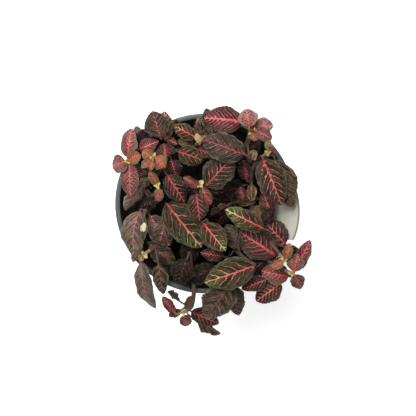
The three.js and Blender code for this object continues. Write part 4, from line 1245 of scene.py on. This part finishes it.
FINISHES = {kind: leaf_finish("cuticle_" + kind, LOOKS[kind], SHINES[kind]) for kind in KINDS}
OLD_STEM = stem_finish("stem_bark_brown", ("#45302a", "#574338"), patch_mm=3)
YOUNG_STEM = stem_finish("stem_skin_green", ("#8a7148", "#8f5a44"), patch_mm=2)


# Plant: each node of leaves on their stem is replaced by one finer piece

# Slabs for blades of these lengths in mm and more, finer for the larger ones
BLADES = [
    (14, model_blade("blade_large", 48, 24)),
    (7, model_blade("blade_middling", 32, 16)),
    (0, model_blade("blade_small", 18, 10)),
]
ROD = model_rod("rod", 20, 8)

# A stalk is stoutest at the stem, as a share of its usual width, and runs on into its blade by
# this many mm
STALK_FOOT = 1.25
STALK_THINS = 0.35
STALK_RUNS_ON = 0.8

# A stem thins on its way up, and swells round each joint where a stalk leaves it, by shares of
# its width, over this many mm
STEM_FOOT = 1.05
STEM_THINS = 0.18
JOINT_SWELL = 0.16
JOINT_LONG = 1.6


def stalk_radius(share):
    return STALK_ACROSS / 2 * (STALK_FOOT - STALK_THINS * share)


def dress(node, stem, blades, crowned, across, skin):
    """One stem with its leaves, in place of its node."""
    grown = []
    joints = []
    for number, blade in enumerate(blades):
        drop = settled(blade, node)
        line = blade_line(blade, drop)
        long = np.linalg.norm(line[2] - line[0])
        master = next(slab for least, slab in BLADES if long >= least)
        name = f"{node}_{blade['kind']}_{number}"
        grown.append(make_leaf(master, name, blade, line, FINISHES[blade["kind"]]))
        stalk = stalk_line(blade, line, stem, crowned)
        joints.append(np.linalg.norm(stem - stalk[0], axis=1).argmin() / (len(stem) - 1))
        end = line[0] + bezier_way(line, np.array([0.0]))[0] * STALK_RUNS_ON
        grown.append(make_rod(ROD, name + "_stalk", np.vstack([stalk, end]), stalk_radius, skin))
    long = np.linalg.norm(np.diff(stem, axis=0), axis=1).sum()

    def radius(share):
        swell = sum(math.exp(-(((share - joint) * long / JOINT_LONG) ** 2)) for joint in joints)
        return across / 2 * (STEM_FOOT - STEM_THINS * share + JOINT_SWELL * min(swell, 1))

    grown.append(make_rod(ROD, node + "_stem", stem, radius, skin))
    return grown


# The folded leaflets at a growing tip: how far each turns on from the last, how wide and long
# they are and how far they rise and arch, in mm, and how far their feet are sunk in the stem
LEAFLETS = 3
LEAFLET_TURN = 2.1
LEAFLET_WIDE = 2
LEAFLET_LONG = (2.2, 3.4)
LEAFLET_RISE = (0.8, 1.8)
LEAFLET_ARCH = 0.5
LEAFLET_SUNK = 0.4


def bud(node, stem):
    """The leaflets of one growing tip, too small for the solids."""
    way = unit(stem[-1] - stem[-3])
    turn = rng.uniform(0, 2 * math.pi)
    slab = BLADES[-1][1]
    made = []
    for k in range(LEAFLETS):
        angle = turn + k * LEAFLET_TURN
        aside = np.array([math.cos(angle), math.sin(angle), 0.0])
        foot = stem[-1] - way * LEAFLET_SUNK
        tip = foot + aside * rng.uniform(*LEAFLET_LONG) + np.array([0, 0, rng.uniform(*LEAFLET_RISE)])
        across = unit(np.cross(tip - foot, [0, 0, 1]))
        line = (foot, (foot + tip) / 2 + [0, 0, LEAFLET_ARCH], tip, across)
        leaflet = leaf("bud", (0, 0), (0, 0), LEAFLET_WIDE, 0, 0)
        made.append(make_leaf(slab, f"{node}_bud_{k}", leaflet, line, FINISHES["bud"]))
    return made


for place, shoot in SHOOTS.items():
    node = "shoot_" + place
    stem, young = grow_stem(shoot)
    crowned = young is not None
    parts = dress(node, stem, shoot["leaves"], crowned, STEM_ACROSS, OLD_STEM)
    grown = join(parts, "leaves_" + place)
    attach(grown, "root")
    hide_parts(node)
    if not crowned:
        continue
    node = "crown_" + place
    tips = dress(node, young, shoot["crown"], False, YOUNG_STEM_ACROSS, YOUNG_STEM)
    crown = join([*tips, *bud(node, young)], "young_" + place)
    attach(crown, "root")
    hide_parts(node)

for master in [*(slab for _, slab in BLADES), ROD]:
    bpy.data.objects.remove(master)


# Pot: turned from its profile, edges rounded, drain holes cut. Its wall leaves the rim a little
# inside it, the disc in its foot slopes down to the table, and its skirt draws in under the rim.
SHOULDER_IN = 0.6
DISC_SLOPE = 2
DISC_INSIDE = 0.8
SKIRT_IN = 0.3
EDGE_ROUND = 0.6
TURNED_STEPS = 144


def pot_profile():
    foot = FOOT_ACROSS / 2
    shoulder = RIM_INNER - SHOULDER_IN
    skirt = POT_HEIGHT - RIM_DEPTH
    return [
        (0, 0),
        (FOOT_DISC_RADIUS, 0),
        (FOOT_DISC_RADIUS + DISC_SLOPE, FOOT_HEIGHT),
        (foot - FOOT_WIDTH, FOOT_HEIGHT),
        (foot - FOOT_WIDTH, 0),
        (foot, 0),
        (shoulder + POT_WALL, skirt),
        (POT_RADIUS - SKIRT_IN, skirt),
        (POT_RADIUS, POT_HEIGHT),
        (RIM_INNER, POT_HEIGHT),
        (shoulder, skirt),
        (foot - POT_WALL, FOOT_HEIGHT + POT_WALL),
        (FOOT_DISC_RADIUS - DISC_INSIDE + DISC_SLOPE, FOOT_HEIGHT + POT_WALL),
        (FOOT_DISC_RADIUS - DISC_INSIDE, POT_WALL),
        (0, POT_WALL),
    ]


def mesh_piece(name, points, edges, faces):
    """A new object from points in mm, selected and active."""
    mesh = bpy.data.meshes.new(name)
    mesh.from_pydata([[x * MM for x in p] for p in points], edges, faces)
    piece = bpy.data.objects.new(name, mesh)
    bpy.context.scene.collection.objects.link(piece)
    deselect()
    piece.select_set(True)
    bpy.context.view_layer.objects.active = piece
    return piece


def round_edges(piece, wide, segments, from_degrees):
    """Rounds the sharp edges of a piece by so many mm."""
    rounding = piece.modifiers.new("rounding", "BEVEL")
    rounding.width = wide * MM
    rounding.segments = segments
    rounding.angle_limit = math.radians(from_degrees)
    bpy.ops.object.modifier_apply(modifier="rounding")


def drain_punch():
    """Round bars where the drain holes go, as one piece."""
    ring = (FOOT_DISC_RADIUS + DISC_SLOPE + FOOT_ACROSS / 2 - FOOT_WIDTH) / 2
    bars = []
    deselect()
    for k in range(DRAIN_HOLES):
        angle = 2 * math.pi * (k + 0.5) / DRAIN_HOLES
        spot = (ring * math.cos(angle) * MM, ring * math.sin(angle) * MM, FOOT_HEIGHT * MM)
        bpy.ops.mesh.primitive_cylinder_add(
            vertices=32, radius=DRAIN_ACROSS / 2 * MM, depth=4 * FOOT_HEIGHT * MM, location=spot
        )
        bars.append(bpy.context.object)
    for bar in bars:
        bar.select_set(True)
    bpy.ops.object.join()
    return bpy.context.object


def model_pot():
    profile = [(r, 0, z) for r, z in pot_profile()]
    pot = mesh_piece("nursery_pot", profile, [(k, k + 1) for k in range(len(profile) - 1)], [])
    bpy.ops.object.mode_set(mode="EDIT")
    bpy.ops.mesh.select_all(action="SELECT")
    bpy.ops.mesh.spin(steps=TURNED_STEPS, angle=2 * math.pi, center=(0, 0, 0), axis=(0, 0, 1))
    bpy.ops.mesh.select_all(action="SELECT")
    bpy.ops.mesh.remove_doubles(threshold=1e-6)
    bpy.ops.mesh.normals_make_consistent(inside=False)
    bpy.ops.object.mode_set(mode="OBJECT")
    round_edges(pot, EDGE_ROUND, segments=3, from_degrees=40)
    punch = drain_punch()
    drain = pot.modifiers.new("drain", "BOOLEAN")
    drain.object = punch
    drain.solver = "EXACT"
    deselect()
    pot.select_set(True)
    bpy.context.view_layer.objects.active = pot
    bpy.ops.object.modifier_apply(modifier="drain")
    bpy.data.objects.remove(punch)
    bpy.ops.object.shade_smooth_by_angle(angle=math.radians(32))
    return pot


pot = model_pot()
pot.data.materials.append(polypropylene("polypropylene_charcoal", ("#3a3b38", "#4d4e4a")))
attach(pot, "root")
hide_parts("pot")


# Potting mix: a rough disc filling the pot, strewn with crumbs, bark and specks of perlite


def soil_top(x, y):
    """The gentle swell that the solid's top has too."""
    return SOIL_HEIGHT + SOIL_SWELL * math.sin(x / 7 + 1) * math.cos(y / 8 - 0.5)


def inner_radius(z):
    """Inside of the pot's wall at a height."""
    low = FOOT_ACROSS / 2 - POT_WALL
    floor = FOOT_HEIGHT + POT_WALL
    high = RIM_INNER - SHOULDER_IN
    return low + (high - low) * (z - floor) / (POT_HEIGHT - RIM_DEPTH - floor)


MIX_RINGS = 34
MIX_SECTORS = 110

# Lumps of the mix: how far apart and how high in mm, how far they lie under the plain top, and
# the roughness, step and number of their ever finer layers
LUMP_ACROSS = 2.2
LUMP_HEIGHT = 0.9
LUMPS_BELOW = 0.6
LUMP_LAYERS = (0.7, 2.0, 4)


def model_mix():
    """The root ball: a cylinder inset again and again on top, then roughened."""
    low = FOOT_HEIGHT + POT_WALL + SEAT_GAP
    middle = (SOIL_HEIGHT + low) / 2
    wide = inner_radius(SOIL_HEIGHT) - SEAT_GAP
    deselect()
    bpy.ops.mesh.primitive_cylinder_add(
        vertices=MIX_SECTORS,
        radius=wide * MM,
        depth=(SOIL_HEIGHT - low) * MM,
        location=(0, 0, middle * MM),
    )
    ball = bpy.context.object
    ball.name = "potting_mix"
    bpy.ops.object.transform_apply(location=True, rotation=False, scale=False)
    bpy.ops.object.mode_set(mode="EDIT")
    bpy.ops.mesh.select_mode(type="FACE")
    bpy.ops.mesh.select_all(action="DESELECT")
    bpy.ops.object.mode_set(mode="OBJECT")
    for face in ball.data.polygons:
        face.select = face.normal.z > 0.9
    bpy.ops.object.mode_set(mode="EDIT")
    for _ in range(MIX_RINGS):
        bpy.ops.mesh.inset(thickness=wide / (MIX_RINGS + 1) * MM)
    bpy.ops.mesh.poke()
    bpy.ops.object.mode_set(mode="OBJECT")
    shrink = (inner_radius(low) - SEAT_GAP) / wide
    for corner in ball.data.vertices:
        x, y, z = corner.co / MM
        if z < middle:
            corner.co = Vector((x * shrink, y * shrink, z)) * MM
            continue
        lumps = noise.fractal(Vector((x, y, 0)) / LUMP_ACROSS, *LUMP_LAYERS) * LUMP_HEIGHT
        corner.co.z = (soil_top(x, y) - LUMPS_BELOW + lumps) * MM
    return ball


# Crumbs keep this far from the wall, and each of their corners is moved in or out by a share
CRUMBS_IN = 2
LUMPY = (0.75, 1.25)


def strewn(master, name, count, size, sides, material, raised):
    """Crumbs lying in the mix, each with its own size, shape and turn. size is in mm, sides are
    the shares of it that each side has, and raised is the share by which a crumb stands out."""
    wide = inner_radius(SOIL_HEIGHT) - CRUMBS_IN
    shape = corners_of(master.data)
    made = []
    for k in range(count):
        angle, out = rng.uniform(0, 2 * math.pi), wide * math.sqrt(rng.random())
        x, y = out * math.cos(angle), out * math.sin(angle)
        scale = rng.uniform(*size)
        turn = Euler([rng.uniform(0, 2 * math.pi) for _ in range(3)]).to_matrix()
        lumpy = shape * np.array([[rng.uniform(*LUMPY)] for _ in shape])
        across = np.array([rng.uniform(*side) for side in sides]) * scale
        places = (lumpy * across) @ np.array(turn).T + [x, y, soil_top(x, y) + raised * scale]
        made.append(copy_of(master, f"{name}_{k}", places, material))
    return made


EVEN_SIDES = [(0.7, 1.2)] * 3
FLAKE_SIDES = [(0.9, 1.4), (0.3, 0.5), (0.15, 0.3)]

damp_peat = crumbly("peat_damp", ("#100d0b", "#2c241d"), grain_mm=1.4)
bark = crumbly("bark_fines", ("#2e2117", "#4a3626"), grain_mm=1.0)
perlite = crumbly("perlite_soiled", ("#6f6d68", "#8f8d88"), grain_mm=0.8)
ball = model_mix()
ball.data.materials.append(damp_peat)
deselect()
bpy.ops.mesh.primitive_ico_sphere_add(subdivisions=1, radius=1)
crumb = bpy.context.object
pieces = strewn(crumb, "crumb", 520, (0.5, 1.5), EVEN_SIDES, damp_peat, raised=-0.1)
pieces += strewn(crumb, "bark", 60, (1.0, 2.2), FLAKE_SIDES, bark, raised=0.3)
pieces += strewn(crumb, "perlite", 26, (0.5, 1.0), EVEN_SIDES, perlite, raised=0.2)
strewing = join(pieces, "mix_crumbs")
bpy.data.objects.remove(crumb)
for piece in (ball, strewing):
    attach(piece, "root")
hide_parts("soil")


# Plant tag: cut from sheet, leaning out over the rim. It widens from its neck over
# TAG_SHOULDER, and its sides end below its rounded outer end, which starts in from them.
TAG_SHOULDER = 4
TAG_SIDES_BELOW = 5
TAG_END_IN = 2
TAG_END_STEPS = 24
TAG_EDGE_ROUND = 0.15


def tag_outline():
    half = TAG_WIDTH / 2
    stake = TAG_STAKE / 2
    centre = TAG_ABOVE - TAG_END_RADIUS
    spread = math.asin((half - TAG_END_IN) / TAG_END_RADIUS)
    right = [(stake, -TAG_SET_IN), (stake, TAG_NECK), (half, TAG_NECK + TAG_SHOULDER)]
    right.append((half, TAG_ABOVE - TAG_SIDES_BELOW))
    end = []
    for k in range(TAG_END_STEPS + 1):
        angle = spread - 2 * spread * k / TAG_END_STEPS
        end.append((TAG_END_RADIUS * math.sin(angle), centre + TAG_END_RADIUS * math.cos(angle)))
    return [(-stake, -TAG_SET_IN), *right, *end, *((-a, b) for a, b in right[:0:-1])]


def model_tag():
    foot = np.array(TAG_FOOT)
    low = [foot + [0, a, 0] + TAG_UP * b - TAG_FACE * TAG_THICK / 2 for a, b in tag_outline()]
    tag = mesh_piece("blank_plant_tag", low, [], [list(range(len(low)))])
    extrude(tuple(TAG_FACE * TAG_THICK * MM))
    round_edges(tag, TAG_EDGE_ROUND, segments=2, from_degrees=50)
    bpy.ops.object.shade_smooth_by_angle(angle=math.radians(40))
    return tag


tag = model_tag()
# Brown of the painted shade along the tag's end; the second finish paints its cut edges dark as shade
TAG_EDGE_SHADE = "#6a5f4c"
for name, tones in (
    ("polystyrene_tag", ("#b6b4a8", "#a5a092")),
    ("polystyrene_shaded_edge", ("#554b3b", "#3c3428")),
):
    tag.data.materials.append(polystyrene(name, tones, TAG_EDGE_SHADE))
# The cut edges of the sheet are painted dark, as the shade they lie in
for face in tag.data.polygons:
    if abs(face.normal.dot(Vector(TAG_FACE))) < 0.5:
        face.material_index = 1
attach(tag, "root")
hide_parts("plant_tag")


# Floor, light and camera
FLOOR_ACROSS = 40
WORLD_LIGHT = 0.2

bpy.ops.mesh.primitive_plane_add(size=FLOOR_ACROSS)
floor = bpy.context.object
floor.name = "floor"
lit = {"Emission Color": colour("#ffffff"), "Emission Strength": 0.5}
paper, _, _ = new_material("white_paper", {"Base Color": colour("#f8f8f8"), "Roughness": 0.9, **lit})
floor.data.materials.append(paper)
floor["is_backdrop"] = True

world = bpy.data.worlds.new("studio")
world.use_nodes = True
sky = world.node_tree.nodes["Background"]
sky.inputs["Color"].default_value = colour("#ffffff")
sky.inputs["Strength"].default_value = WORLD_LIGHT
bpy.context.scene.world = world


def soft_light(name, place, size, power):
    """A square soft box aimed at the rim's middle, in metres and watts."""
    lamp = bpy.data.lights.new(name, "AREA")
    lamp.size = size
    lamp.energy = power
    holder = bpy.data.objects.new(name, lamp)
    holder.location = place
    aim = Vector((0, 0, POT_HEIGHT * MM)) - Vector(place)
    holder.rotation_euler = aim.to_track_quat("-Z", "Y").to_euler()
    bpy.context.scene.collection.objects.link(holder)


soft_light("key", (-0.42, 0.55, 1.25), size=0.9, power=20.5)
soft_light("fill", (0.9, -0.5, 1.3), size=1.2, power=9)
soft_light("glint", (-0.25, 0.4, 1.3), size=0.12, power=2.5)

# The photograph is taken from straight above, with the pot's axis a little off its middle
PHOTO_SIDE = 416
AXIS_IN_PHOTO = (205, 203.5)
RIM_RADIUS_IN_PHOTO = 90
SENSOR = 36

camera = bpy.data.cameras.new("camera")
camera.sensor_width = SENSOR
reach = (EYE_HEIGHT - POT_HEIGHT) / POT_RADIUS
camera.lens = SENSOR * RIM_RADIUS_IN_PHOTO / PHOTO_SIDE * reach
camera.shift_x = (PHOTO_SIDE / 2 - AXIS_IN_PHOTO[0]) / PHOTO_SIDE
camera.shift_y = (AXIS_IN_PHOTO[1] - PHOTO_SIDE / 2) / PHOTO_SIDE
camera.clip_start = 0.01
eye = bpy.data.objects.new("camera", camera)
eye.location = (0, 0, EYE_HEIGHT * MM)
bpy.context.scene.collection.objects.link(eye)
bpy.context.scene.camera = eye
bpy.context.scene.view_settings.view_transform = "Standard"

boxes = {"cad": cad_box, "visual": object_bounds()}
{name: [list(corner) for corner in box] for name, box in boxes.items()}
